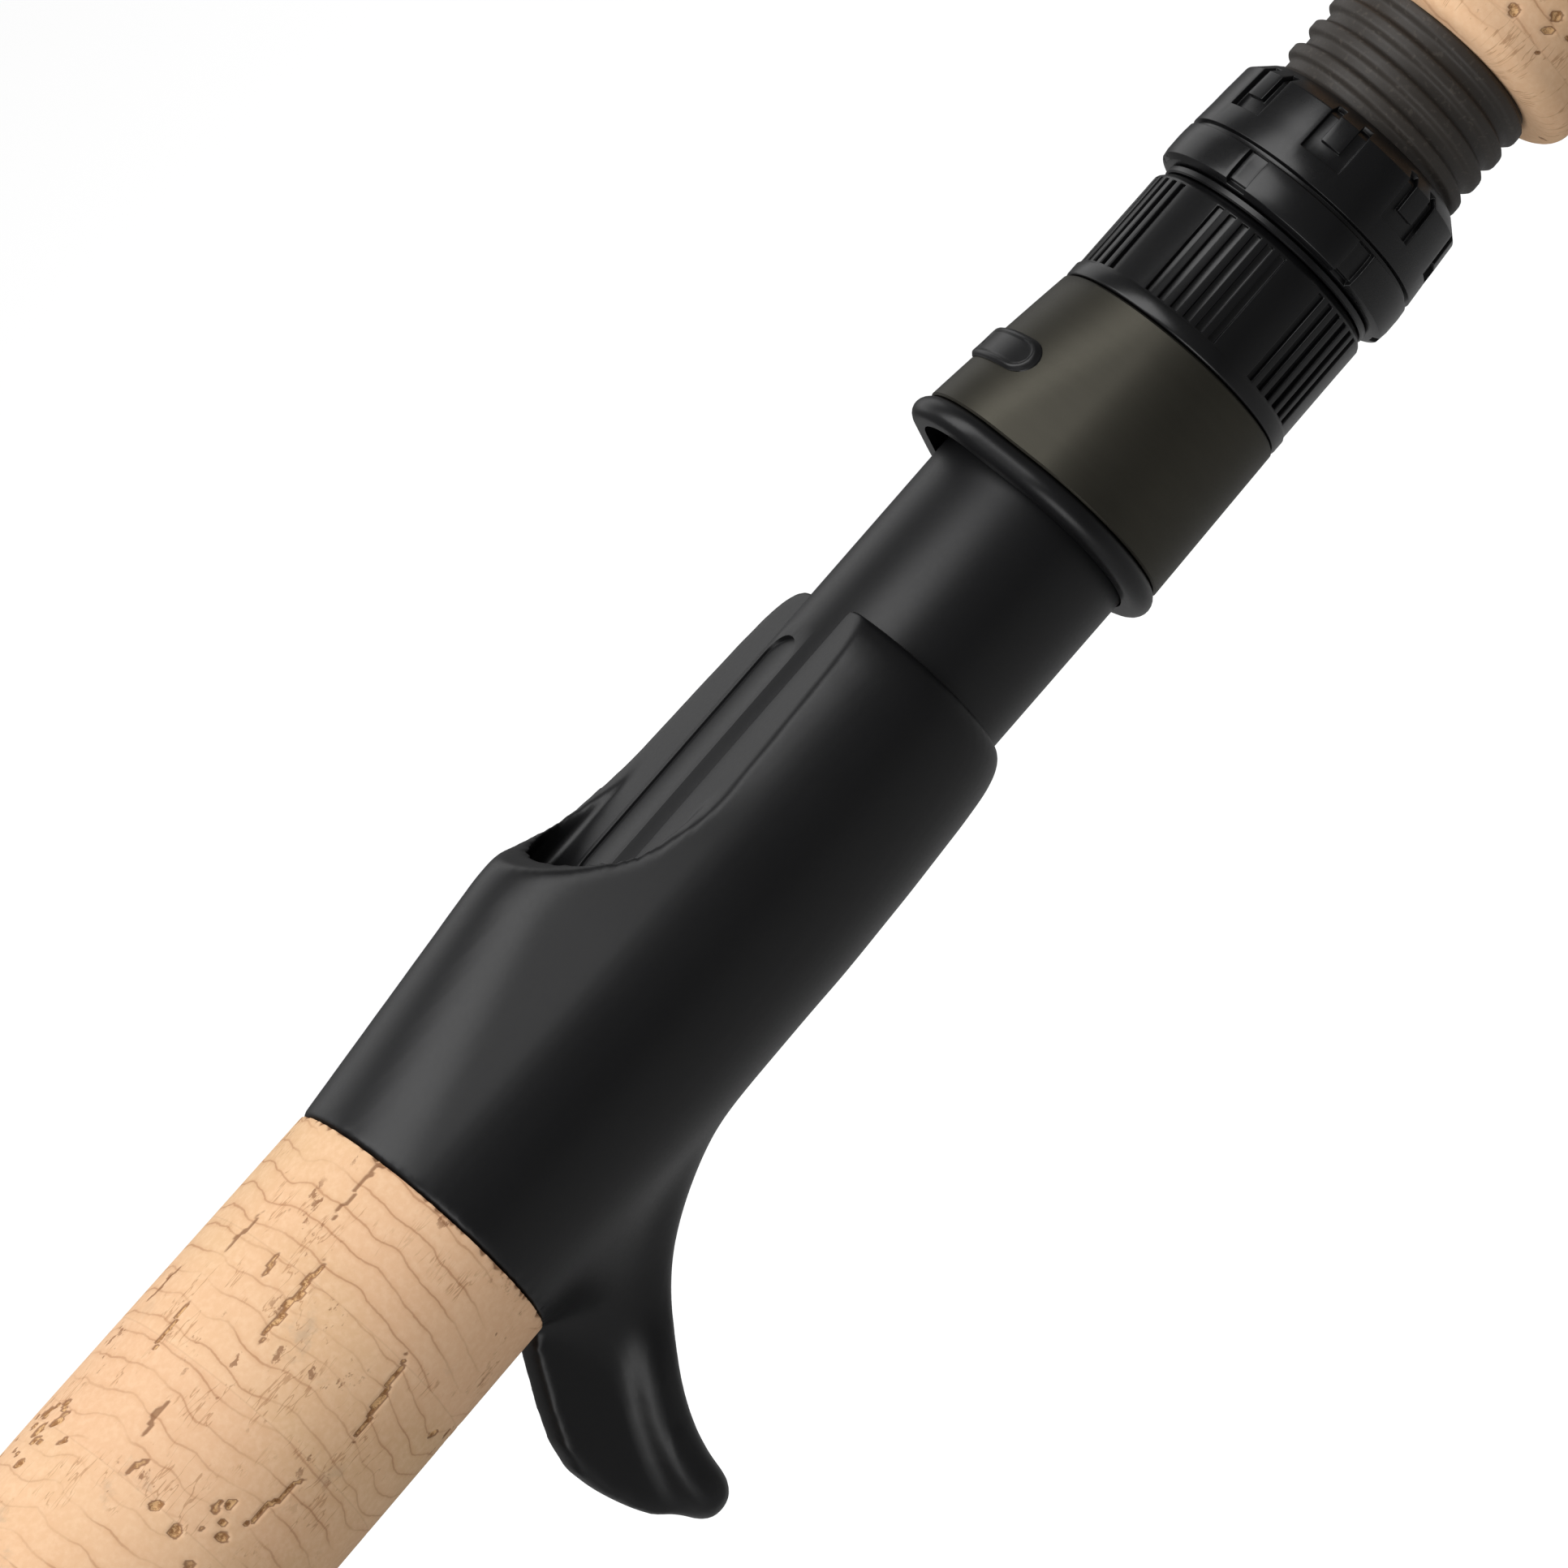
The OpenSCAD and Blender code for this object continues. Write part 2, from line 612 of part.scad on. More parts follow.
module guide_frame(i) {
    x = guide_x(i);
    r = guide_wire_d / 2;
    side = hoop_r(i) - r * 0.6;
    rear = x - leg_run(i);
    front = x + leg_run(i) * 0.7;
    color("silver") difference() {
        union() {
            flat_ring(x, ring_z(i), ring_len, hoop_r(i), ceramic_r(i));
            for (s = [-1, 1]) {
                top = [x, s * side * cos(20), ring_z(i) - side * sin(20)];
                heel = [rear, s * (foot_w / 2 - r / 2), blank_r(rear) + r * 0.7];
                wire(top, heel, r);
                bead(heel, r);
                low = [x, s * side * cos(60), ring_z(i) - side * sin(60)];
                toe = [front, s * (foot_w / 2 - r / 2), blank_r(front) + r * 0.7];
                wire(low, toe, r);
                bead(toe, r);
            }
            guide_foot(rear, -1);
            guide_foot(front, 1);
        }
        blank_cutter(rear - 2 * foot_len, front + 2 * foot_len, glue_gap);
        translate([x - 2 * ring_len, 0, ring_z(i)]) rotate([0, 90, 0])
            cylinder(h = 4 * ring_len, r = ceramic_r(i));
    }
}

// Ceramic ring with a straight land and eased edges.
module ceramic_ring(x, z, bore_r, outer_r) {
    ease_r = 0.4;
    h = ring_len / 2 + 0.2;
    translate([x, 0, z]) rotate([90, 0, 90]) rotate_extrude()
        polygon([[bore_r, -h + ease_r], [bore_r + ease_r, -h], [outer_r - ease_r / 2, -h],
                 [outer_r, -h + ease_r / 2], [outer_r, h - ease_r / 2], [outer_r - ease_r / 2, h],
                 [bore_r + ease_r, h], [bore_r, h - ease_r]]);
}

module guide_ring(i) {
    color("black") ceramic_ring(guide_x(i), ring_z(i), guide_bore_d[i] / 2, ceramic_r(i) - 0.02);
}

// Sleeve of varnished thread over a foot, with a ridge where the foot lies under it.
module wrap(x0, x1, ridge_h, ridge_w) {
    run = 1.2;
    difference() {
        union() {
            bar(x0, x0 + run, blank_r(x0) + glue_gap + 0.05, blank_r(x0 + run) + wrap_wall);
            bar(x0 + run, x1 - run, blank_r(x0 + run) + wrap_wall, blank_r(x1 - run) + wrap_wall);
            bar(x1 - run, x1, blank_r(x1 - run) + wrap_wall, blank_r(x1) + glue_gap + 0.05);
            if (ridge_h > 0) intersection() {
                translate([x0 + run, 0, blank_r(x0) + ridge_h - ridge_w / 2]) rotate([0, 90, 0])
                    cylinder(h = x1 - x0 - 2 * run, r = ridge_w / 2);
                translate([x0, -ridge_w, 0]) cube([x1 - x0, 2 * ridge_w, 4 * blank_butt_d]);
            }
        }
        blank_cutter(x0 - cut, x1 + cut, glue_gap);
    }
}

module guide_wraps(i) {
    x = guide_x(i);
    rear = x - leg_run(i);
    front = x + leg_run(i) * 0.7;
    extra = 3;
    heel = 2.2;
    color("maroon") difference() {
        union() {
            wrap(rear - foot_len - extra, rear - heel, 1.2, foot_w + 2 * wrap_wall);
            wrap(front + heel, front + foot_len + extra, 1.2, foot_w + 2 * wrap_wall);
        }
        guide_foot(rear, -1);
        guide_foot(front, 1);
    }
}

module hook_keeper() {
    r = 0.55;
    half = keeper_len / 2;
    foot = 6;
    base = blank_r(keeper_x - half - foot) + glue_gap + r;
    top = base + keeper_h;
    color("silver") {
        for (s = [-1, 1]) {
            wire([keeper_x + s * (half + foot), 0, base], [keeper_x + s * half, 0, base], r);
            bead([keeper_x + s * half, 0, base], r);
            wire([keeper_x + s * half, 0, base], [keeper_x + s * half * 0.45, 0, top], r);
            bead([keeper_x + s * half * 0.45, 0, top], r);
        }
        wire([keeper_x - half * 0.45, 0, top], [keeper_x + half * 0.45, 0, top], r);
    }
}

module keeper_wraps() {
    half = keeper_len / 2;
    color("maroon") difference() {
        for (s = [-1, 1])
            wrap(keeper_x + s * (half + 4.7) - 3.9, keeper_x + s * (half + 4.7) + 3.9, 1.3, 2.2);
        hook_keeper();
    }
}

tube_in = rod_len - tip_tube_len - ring_len * 2;
tip_tube_r = blank_tip_d / 2 + 0.15 + tip_tube_wall;
tip_ring_z = tip_tube_r + tip_ring_bore_r + ceramic_wall + hoop_wall + 0.6;
tip_ring_x = rod_len - ring_len / 2 - 0.2;

module tip_tube() {
    color("silver") difference() {
        bar(tube_in, tube_in + tip_tube_len, tip_tube_r, tip_tube_r);
        bar(tube_in - cut, tube_in + tip_tube_len * 0.9, tip_tube_r - tip_tube_wall,
            tip_tube_r - tip_tube_wall);
    }
}

module tip_frame() {
    r = guide_wire_d / 2;
    outer = tip_ring_bore_r + ceramic_wall + hoop_wall;
    end = tube_in + tip_tube_len;
    color("silver") difference() {
        union() {
            flat_ring(tip_ring_x, tip_ring_z, ring_len, outer, outer - hoop_wall);
            for (s = [-1, 1]) {
                wire([tip_ring_x, s * (outer - r / 2) * cos(10), tip_ring_z - outer * sin(10)],
                     [end - 7, s * (tip_tube_r + r * 0.4), 0], r);
                bead([end - 7, s * (tip_tube_r + r * 0.4), 0], r);
            }
            wire([tip_ring_x, 0, tip_ring_z - outer + r / 2], [end - 2, 0, tip_tube_r + r * 0.4], r);
            bead([end - 2, 0, tip_tube_r + r * 0.4], r);
        }
        bar(tube_in - cut, end, tip_tube_r, tip_tube_r);
        translate([tip_ring_x - 2 * ring_len, 0, tip_ring_z]) rotate([0, 90, 0])
            cylinder(h = 4 * ring_len, r = outer - hoop_wall);
    }
}

module tip_ring() {
    color("black") ceramic_ring(tip_ring_x, tip_ring_z, tip_ring_bore_r,
                                tip_ring_bore_r + ceramic_wall - 0.02);
}

module tip_wrap() {
    wrap_len = 5;
    color("maroon") wrap(tube_in - wrap_len, tube_in - 0.1, 0, 0);
}

blank();
butt_cap();
rear_grip_rings();
reel_seat();
seat_arbors();
hood_liner();
hood_band();
lock_nut();
slip_washer();
jam_nut();
fore_grip_rings();
winding_check();
hook_keeper();
keeper_wraps();
tip_tube();
tip_frame();
tip_ring();
tip_wrap();
for (i = [1:GUIDES]) {
    guide_frame(i - 1);
    guide_ring(i - 1);
    guide_wraps(i - 1);
}
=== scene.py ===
from math import acos, atan2, ceil, cos, pi, radians, sin, sqrt

import bpy
import numpy as np
from mathutils import Matrix, Vector


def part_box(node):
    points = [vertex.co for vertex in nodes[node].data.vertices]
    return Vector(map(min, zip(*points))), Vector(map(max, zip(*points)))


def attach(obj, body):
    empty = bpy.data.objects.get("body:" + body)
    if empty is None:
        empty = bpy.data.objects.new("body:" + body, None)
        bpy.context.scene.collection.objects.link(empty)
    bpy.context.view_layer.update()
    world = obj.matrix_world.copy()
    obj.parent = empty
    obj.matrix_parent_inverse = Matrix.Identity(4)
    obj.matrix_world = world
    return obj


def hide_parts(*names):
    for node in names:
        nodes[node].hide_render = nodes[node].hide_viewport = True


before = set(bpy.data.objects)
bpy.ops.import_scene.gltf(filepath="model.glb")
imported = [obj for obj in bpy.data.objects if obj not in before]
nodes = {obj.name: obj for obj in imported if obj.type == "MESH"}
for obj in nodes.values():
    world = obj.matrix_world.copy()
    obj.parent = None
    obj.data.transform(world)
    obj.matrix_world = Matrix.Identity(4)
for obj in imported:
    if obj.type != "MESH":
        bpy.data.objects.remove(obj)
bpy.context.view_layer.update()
mm = 0.001
print("frame loaded:", len(nodes), "nodes")

# Places along the rod, all read from the frame
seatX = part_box("rear_grip_rings")[1].x          # where the rear grip ends and the reel seat begins
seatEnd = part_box("reel_seat")[1].x
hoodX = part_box("hood_liner")[0].x
lockX, lockEnd = (corner.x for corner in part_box("lock_nut"))
jamX, jamEnd = (corner.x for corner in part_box("jam_nut"))
foreX, foreEnd = (corner.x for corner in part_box("fore_grip_rings"))
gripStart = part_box("rear_grip_rings")[0].x
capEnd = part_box("butt_cap")[1].x


# Camera
view = {
    "targetX": seatX + 54 * mm,   # point of the axis that the camera looks at
    "distance": 1.7,
    "swing": radians(9),          # how far the butt comes towards the camera
    "lift": radians(26),          # how far the camera stands above the rod
    "roll": radians(48.93),       # slope of the rod in the view
    "aside": 1.4 * mm,            # the axis passes this far below the middle of the view
    "lens": 414,
}


def addCamera():
    back = Vector((-sin(view["swing"]), -cos(view["swing"]) * cos(view["lift"]),
                   cos(view["swing"]) * sin(view["lift"])))
    along = (Vector((1, 0, 0)) - back * back.x).normalized()
    across = back.cross(along)
    right = cos(view["roll"]) * along - sin(view["roll"]) * across
    up = sin(view["roll"]) * along + cos(view["roll"]) * across
    data = bpy.data.cameras.new("camera")
    data.lens = view["lens"]
    data.clip_end = 50
    camera = bpy.data.objects.new("camera", data)
    bpy.context.scene.collection.objects.link(camera)
    turn = Matrix((right, up, back)).transposed().to_4x4()
    place = Vector((view["targetX"], 0, 0)) + across * view["aside"] + back * view["distance"]
    camera.matrix_world = Matrix.Translation(place) @ turn
    bpy.context.scene.camera = camera


addCamera()


# Shader helpers
class Flow:
    # One socket's value in a material; sums and products on it add Math nodes.
    def __init__(self, finish, socket):
        self.finish = finish
        self.socket = socket

    def join(self, operation, first, second):
        return self.finish.make("ShaderNodeMath", {"operation": operation}, {0: first, 1: second})

    def __add__(self, other):
        return self.join("ADD", self, other)

    def __sub__(self, other):
        return self.join("SUBTRACT", self, other)

    def __mul__(self, other):
        return self.join("MULTIPLY", self, other)

    def __truediv__(self, other):
        return self.join("DIVIDE", self, other)

    def __rsub__(self, other):
        return self.join("SUBTRACT", other, self)

    __radd__ = __add__
    __rmul__ = __mul__

    def through(self, operation, other=0.0):
        return self.join(operation, self, other)

    def step(self, start, end):
        # eased step from 0 at start to 1 at end
        return self.finish.make("ShaderNodeMapRange", {"interpolation_type": "SMOOTHSTEP"},
                                {"Value": self, "From Min": start, "From Max": end})


class Finish:
    # A material with one Principled shader.
    def __init__(self, name, **fixed):
        self.material = bpy.data.materials.new(name)
        self.material.use_nodes = True
        self.tree = self.material.node_tree
        self.shader = self.tree.nodes["Principled BSDF"]
        for socket, value in fixed.items():
            self.shader.inputs[socket.replace("_", " ")].default_value = value
        self.place = self.make("ShaderNodeTexCoord", {}, {}, output="Object")
        self.x, self.y, self.z = (
            self.make("ShaderNodeSeparateXYZ", {}, {0: self.place}, output=axis) for axis in "XYZ")

    def make(self, kind, settings, sockets, output=0):
        # adds a node: its settings are set first, then the values or links of its sockets
        node = self.tree.nodes.new(kind)
        for key, value in settings.items():
            setattr(node, key, value)
        for key, value in sockets.items():
            if isinstance(value, Flow):
                self.tree.links.new(value.socket, node.inputs[key])
            else:
                node.inputs[key].default_value = value
        return Flow(self, node.outputs[output])

    def noise(self, scale, detail, stretch=(1, 1, 1), roughness=0.55):
        spread = self.make("ShaderNodeMapping", {}, {"Vector": self.place, "Scale": stretch})
        return self.make("ShaderNodeTexNoise", {}, {
            "Vector": spread, "Scale": scale, "Detail": detail, "Roughness": roughness})

    def cells(self, scale):
        return self.make("ShaderNodeTexVoronoi", {}, {"Vector": self.place, "Scale": scale})

    def around(self):
        # angle about the rod's axis
        return self.z.through("ARCTAN2", self.y)

    def attribute(self, name):
        return self.make("ShaderNodeAttribute", {"attribute_name": name}, {}, output=2)

    def blend(self, share, first, second):
        # mixes two colours, each a plain colour or a socket's
        colours = {6: self.colour(first), 7: self.colour(second)}
        return self.make("ShaderNodeMix", {"data_type": "RGBA"}, {0: share, **colours}, output=2)

    def colour(self, value):
        return value if isinstance(value, Flow) else (*value, 1)

    def feed(self, **sockets):
        for key, value in sockets.items():
            self.tree.links.new(value.socket, self.shader.inputs[key.replace("_", " ")])

    def relief(self, height, distance, strength):
        bump = self.make("ShaderNodeBump", {}, {
            "Height": height, "Distance": distance, "Strength": strength})
        self.feed(Normal=bump)


def dress(piece, finish):
    piece.data.materials.clear()
    piece.data.materials.append(finish.material)


# Modelling helpers
def deselectAll():
    if bpy.context.mode != "OBJECT":
        bpy.ops.object.mode_set(mode="OBJECT")
    bpy.ops.object.select_all(action="DESELECT")


def editing(piece):
    # opens the piece in edit mode with all of it selected
    deselectAll()
    bpy.context.view_layer.objects.active = piece
    piece.select_set(True)
    bpy.ops.object.mode_set(mode="EDIT")
    bpy.ops.mesh.select_mode(type="VERT")
    bpy.ops.mesh.select_all(action="SELECT")


def settle():
    # turns all faces outwards and leaves edit mode
    bpy.ops.mesh.select_all(action="SELECT")
    bpy.ops.mesh.normals_make_consistent(inside=False)
    bpy.ops.object.mode_set(mode="OBJECT")


def startRing(name, x, radius, sides):
    # one ring of edges round the rod's axis, left in edit mode
    deselectAll()
    bpy.ops.mesh.primitive_circle_add(
        vertices=sides, radius=radius, location=(x, 0, 0), rotation=(0, pi / 2, 0))
    piece = bpy.context.object
    piece.name = name
    bpy.ops.object.transform_apply(location=True, rotation=True, scale=True)
    editing(piece)
    return piece


def turned(name, outline, sides):
    # outline is a list of (x, radius); ring after ring is extruded, moved and resized
    piece = startRing(name, *outline[0], sides)
    for (x0, r0), (x1, r1) in zip(outline, outline[1:]):
        bpy.ops.mesh.extrude_edges_move(TRANSFORM_OT_translate={"value": (x1 - x0, 0, 0)})
        bpy.ops.transform.resize(value=(1, r1 / r0, r1 / r0), center_override=(x1, 0, 0))
    bpy.ops.mesh.select_all(action="DESELECT")
    bpy.ops.mesh.select_non_manifold()
    bpy.ops.mesh.bridge_edge_loops()
    settle()
    return piece


def skinned(name, rings, capped=True):
    # rings is an array of (ring, point, xyz); a circle is extruded ring by ring, then its points are placed
    rings = np.asarray(rings, float)
    count, sides = rings.shape[:2]
    piece = startRing(name, 0, 0.01, sides)
    for _ in range(count - 1):
        bpy.ops.mesh.extrude_edges_move(TRANSFORM_OT_translate={"value": (0.001, 0, 0)})
    bpy.ops.mesh.select_all(action="DESELECT")
    bpy.ops.mesh.select_non_manifold()
    if capped:
        bpy.ops.mesh.edge_face_add()
    else:
        bpy.ops.mesh.bridge_edge_loops()
    bpy.ops.object.mode_set(mode="OBJECT")
    piece.data.vertices.foreach_set("co", rings.reshape(-1))
    piece.data.update()
    editing(piece)
    settle()
    return piece


def apply(piece, kind, **settings):
    deselectAll()
    bpy.context.view_layer.objects.active = piece
    piece.select_set(True)
    modifier = piece.modifiers.new(kind.lower(), kind)
    for key, value in settings.items():
        setattr(modifier, key, value)
    bpy.ops.object.modifier_apply(modifier=modifier.name)


def joined(pieces):
    deselectAll()
    for piece in pieces:
        piece.select_set(True)
    bpy.context.view_layer.objects.active = pieces[0]
    bpy.ops.object.join()
    return pieces[0]


def smoothShade(piece, angle=None):
    deselectAll()
    bpy.context.view_layer.objects.active = piece
    piece.select_set(True)
    if angle is None:
        bpy.ops.object.shade_smooth()
    else:
        bpy.ops.object.shade_smooth_by_angle(angle=radians(angle))


def finished(piece, body, node):
    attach(piece, body)
    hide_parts(node)


def ease(value, start, end):
    # eased step from 0 at start to 1 at end
    t = np.clip((value - start) / (end - start), 0, 1)
    return t * t * (3 - 2 * t)


def eggRadius(angle, low, top, dist):
    # distance from the axis to an outline of two circles joined by tangents; angle 0 is straight up,
    # low is the radius of the circle on the axis, top that of the upper one, dist the way between them
    angle = abs(atan2(sin(angle), cos(angle)))
    if dist <= abs(low - top) + 1e-9:
        return low
    touch = acos((low - top) / dist)
    if angle >= touch:
        return low
    if angle <= atan2(top * sin(touch), dist + top * cos(touch)):
        return dist * cos(angle) + sqrt(max(0.0, top ** 2 - (dist * sin(angle)) ** 2))
    return low / cos(angle - touch)


def ringPoints(x, radiusAt, sides):
    # points round the axis whose distance from it comes from a function of the angle
    turns = [2 * pi * k / sides for k in range(sides)]
    return [(x, radiusAt(a) * sin(a), radiusAt(a) * cos(a)) for a in turns]


# Reel seat
seat = {
    "sides": 120,
    "stations": 92,
    "barrelRadius": 11.25 * mm,
    "bore": 8.3 * mm,
    "rearRadius": 15 * mm,
    "bodyLength": 69.5 * mm,
    "barrelLength": 90 * mm,
    "shoulderHeight": 10.35 * mm,
    "lip": 29.5 * mm,            # from the rear end to the lip of the fixed hood
    "lipHeight": 18.4 * mm,
    "fall": 22 * mm,             # length over which the crown falls away in front of the lip
    "sweepRadius": 26 * mm,
    "topRadius": 9.3 * mm,
    "pocketDepth": 12 * mm,
    "pocketWidth": 17 * mm,
    "pocketTop": 15.65 * mm,
    "barrelRear": 17.2 * mm,     # the barrel's rear end, hidden in the body
    "slot": (33.5 * mm, 30.8 * mm, 5.1 * mm, 0.6 * mm),   # start, length, width, depth
    "frontDrop": 3.1 * mm,       # how far the underside has closed in at the front
    "dropShares": ((0, 0), (29, 0.02), (42, 0.08), (54, 0.22), (62, 0.36), (65.5, 0.46), (67.4, 0.58),
                   (68.6, 0.74), (69.2, 0.87), (69.5, 1)),   # millimetres from the rear end, share
    "firstVoxel": 0.8 * mm,
    "voxel": 0.42 * mm,
}
trigger = {
    "faceX": 30 * mm,
    "tipX": 3.2 * mm,
    "tipZ": -42 * mm,
    "tipRound": 2.5 * mm,
    "tipLength": 3.4 * mm,
    "bandWidth": 9.6 * mm,
    "bandDepth": 5.6 * mm,
    "bandFlare": 8.5 * mm,       # how much wider each side is at the root
    "bandRings": 46,
    "webWidth": 4.8 * mm,
    "webRound": 1.9 * mm,
    "keelStart": 0.4 * mm,
    "keelLength": 22 * mm,
    "sides": 40,
}
thread = {"pitch": 3 * mm, "crest": 10.95 * mm, "depth": 0.7 * mm, "sides": 120, "perTurn": 16}


def bodyLow(x):
    # radius of the body's round underside at a distance from its rear end
    places = [place * mm for place, _ in seat["dropShares"]]
    shares = [share for _, share in seat["dropShares"]]
    return seat["rearRadius"] - seat["frontDrop"] * float(np.interp(x, places, shares))


def bodyRise(x):
    # share of the crown's full height: it grows up to the lip and falls away in front of it
    if x < seat["lip"]:
        return min(1.0, x / (seat["lip"] - 2 * mm))
    return float(1 - ease(x, seat["lip"], seat["lip"] + seat["fall"]))


def bodyRing(x):
    low = bodyLow(x)
    up = bodyRise(x)
    top = low + (seat["topRadius"] - low) * up
    dist = (seat["lipHeight"] - seat["topRadius"]) * up
    return ringPoints(seatX + x, lambda a: eggRadius(a, low, top, dist), seat["sides"])


def makeBody():
    stations = np.linspace(0, seat["bodyLength"], seat["stations"])
    return skinned("seatBody", [bodyRing(float(x)) for x in stations])


def facePoint(a, depth):
    # point on the hollow finger face, moved back into the trigger; a quarter turn from tip to root
    spanX = trigger["faceX"] - trigger["tipX"] + depth
    foot = -trigger["tipZ"] - trigger["tipRound"]
    spanZ = foot - seat["rearRadius"] + 0.3 * mm + depth
    return Vector((trigger["faceX"] - spanX * cos(a) ** 1.2, 0, -foot + spanZ * sin(a) ** 1.2))


def makeBand():
    # the rounded front band: a flattened tube along the finger face, wider where it grows out of the body
    half, radius, last = trigger["bandDepth"] / 2, seat["rearRadius"], trigger["bandRings"] - 1
    side = Vector((0, 1, 0))
    rings = []
    for k in range(last + 1):
        s = k / last
        a = pi / 2 * (1 - s)
        thick = half * (1 + 0.6 * (1 - s) ** 4)
        centre = facePoint(a, thick)
        ahead = facePoint(max(a - 0.02, 0), half) - facePoint(min(a + 0.02, pi / 2), half)
        ahead = ahead.normalized()
        front = side.cross(ahead)
        nearBody = 1 - float(ease(s, 0.04, 0.42))
        flare = trigger["bandFlare"] * max(0.0, 1 - s / 0.55) ** 2.2
        width = trigger["bandWidth"] / 2 + flare + 0.5 * mm * float(ease(s, 0.75, 1))
        ring = []
        for n in range(trigger["sides"]):
            t = 2 * pi * n / trigger["sides"]
            y = abs(cos(t)) ** 0.72 * (1 if cos(t) > 0 else -1) * width
            f = abs(sin(t)) ** 0.78 * (1 if sin(t) > 0 else -1) * thick
            hug = nearBody * (radius - sqrt(radius ** 2 - y ** 2))   # follows the body's round underside
            ring.append(centre + side * y + front * (f + hug))
        rings.append(ring)
    tip = facePoint(0, half)
    ahead = (facePoint(0, half) - facePoint(0.04, half)).normalized()
    for k in range(1, 9):
        share = sin(pi / 2 * k / 8)
        shrink = max(0.04, cos(pi / 2 * k / 8))
        middle = tip + ahead * (trigger["tipLength"] * share) + Vector((-0.3 * mm * share, 0, 0))
        rings.append([middle + (p - tip) * shrink ** 0.8 for p in rings[last]])
    return skinned("triggerBand", [[(p.x + seatX, p.y, p.z) for p in ring] for ring in rings])


def webOutline():
    # the finger face, then the heel from the tip up, then back through the inside of the body
    tipX, tipZ, root = trigger["tipX"], trigger["tipZ"], -seat["rearRadius"]
    face = [facePoint(pi / 2 * (1 - k / 12), trigger["bandDepth"] / 3) for k in range(13)]
    back = [(-0.5, 0.9), (-3.4, 1.0), (-6.0, 1.9), (-7.9, 3.9), (-9.1, 7.0), (-10.0, 10.4),
            (-10.2, 13.4), (-9.4, 16.4), (-8.0, 19.4), (-6.4, 22.4), (-4.8, 25.2)]
    heel = [Vector((tipX + x * mm, 0, tipZ + z * mm)) for x, z in back]
    top = [Vector((0, 0, root - 0.4 * mm)), Vector((4 * mm, 0, root + 2.5 * mm)),
           Vector((16 * mm, 0, root + 2.5 * mm))]
    return face + heel + top


def makeWeb():
    # the thin web behind the band: its outline filled, pulled to its width and rounded along its edges
    outline = webOutline()
    deselectAll()
    bpy.ops.mesh.primitive_circle_add(vertices=len(outline), radius=0.01, fill_type="NGON")
    piece = bpy.context.object
    piece.name = "triggerWeb"
    for vertex, point in zip(piece.data.vertices, outline):
        vertex.co = Vector((point.x + seatX, -trigger["webWidth"] / 2, point.z))
    editing(piece)
    bpy.ops.mesh.extrude_region_move(TRANSFORM_OT_translate={"value": (0, trigger["webWidth"], 0)})
    settle()
    apply(piece, "BEVEL", width=trigger["webRound"], segments=4, limit_method="ANGLE",
          angle_limit=radians(60))
    return piece


def makeKeel():
    # flanks that leave the round underside as tangents and run down to the web, growing from the rear end
    radius, thin = seat["rearRadius"], trigger["webWidth"] * 0.42
    rings = []
    for k in range(25):
        x = trigger["keelStart"] + trigger["keelLength"] * k / 24
        growth = float(ease(x, -2 * mm, 7 * mm) * (1 - ease(x, 11 * mm, 23 * mm)))
        touch = radians(16 + 38 * growth)
        wide, top = radius * sin(touch), -radius * cos(touch)
        bottom = top - (wide - thin) * sin(touch) / cos(touch)
        ring = []
        for n in range(-12, 13):
            u = abs(n) / 12
            y = thin + (wide - thin) * u if n else 0
            sag = 0.7 * mm * growth * sin(pi * u)
            ring.append((seatX + x, y if n > 0 else -y, bottom + (top - bottom) * u + sag))
        ring.append((seatX + x, 0, -5 * mm))
        rings.append(ring)
    return skinned("triggerKeel", rings)


def makeCutter(name, outline, axis, start, depth):
    # a prism whose outline, a list of two-number points, is pulled along one axis
    deselectAll()
    bpy.ops.mesh.primitive_circle_add(vertices=len(outline), radius=0.01, fill_type="NGON")
    piece = bpy.context.object
    piece.name = name
    others = [k for k in range(3) if k != axis]
    for vertex, point in zip(piece.data.vertices, outline):
        place = [0.0, 0.0, 0.0]
        place[axis] = start
        place[others[0]], place[others[1]] = point
        vertex.co = place
    editing(piece)
    pull = [0.0, 0.0, 0.0]
    pull[axis] = depth
    bpy.ops.mesh.extrude_region_move(TRANSFORM_OT_translate={"value": pull})
    settle()
    return piece


def cutAway(piece, cutter):
    apply(piece, "BOOLEAN", object=cutter, operation="DIFFERENCE", solver="EXACT")
    bpy.data.objects.remove(cutter)


def shoulderCutter():
    # the hollow sweep from the lip down to the flat shoulders
    r = seat["sweepRadius"]
    drop = seat["lipHeight"] - seat["shoulderHeight"]
    foot = seat["lip"] + sqrt(r ** 2 - (r - drop) ** 2)
    sweep = acos((r - drop) / r)
    outline = [(seatX + foot - r * sin(sweep * (1 - k / 24)),
                seat["shoulderHeight"] + r * (1 - cos(sweep * (1 - k / 24)))) for k in range(25)]
    front = seatX + seat["bodyLength"] + 2 * mm
    outline += [(front, seat["shoulderHeight"]), (front, 2 * seat["lipHeight"]),
                (seatX + seat["lip"], 2 * seat["lipHeight"])]
    return makeCutter("shoulderCutter", outline, 1, -22 * mm, 44 * mm)


def pocketCutter():
    # the room for the reel's foot under the lip, with an arched roof
    r = seat["pocketWidth"] * 0.75
    half = seat["pocketWidth"] / 2
    centre = seat["pocketTop"] - r
    reach = atan2(half, sqrt(r ** 2 - half ** 2))
    outline = [(r * sin(reach * k / 12), centre + r * cos(reach * k / 12)) for k in range(-12, 13)]
    outline += [(half, seat["shoulderHeight"]), (-half, seat["shoulderHeight"])]
    start = seatX + seat["lip"] - seat["pocketDepth"]
    return makeCutter("pocketCutter", outline, 0, start, seat["bodyLength"])


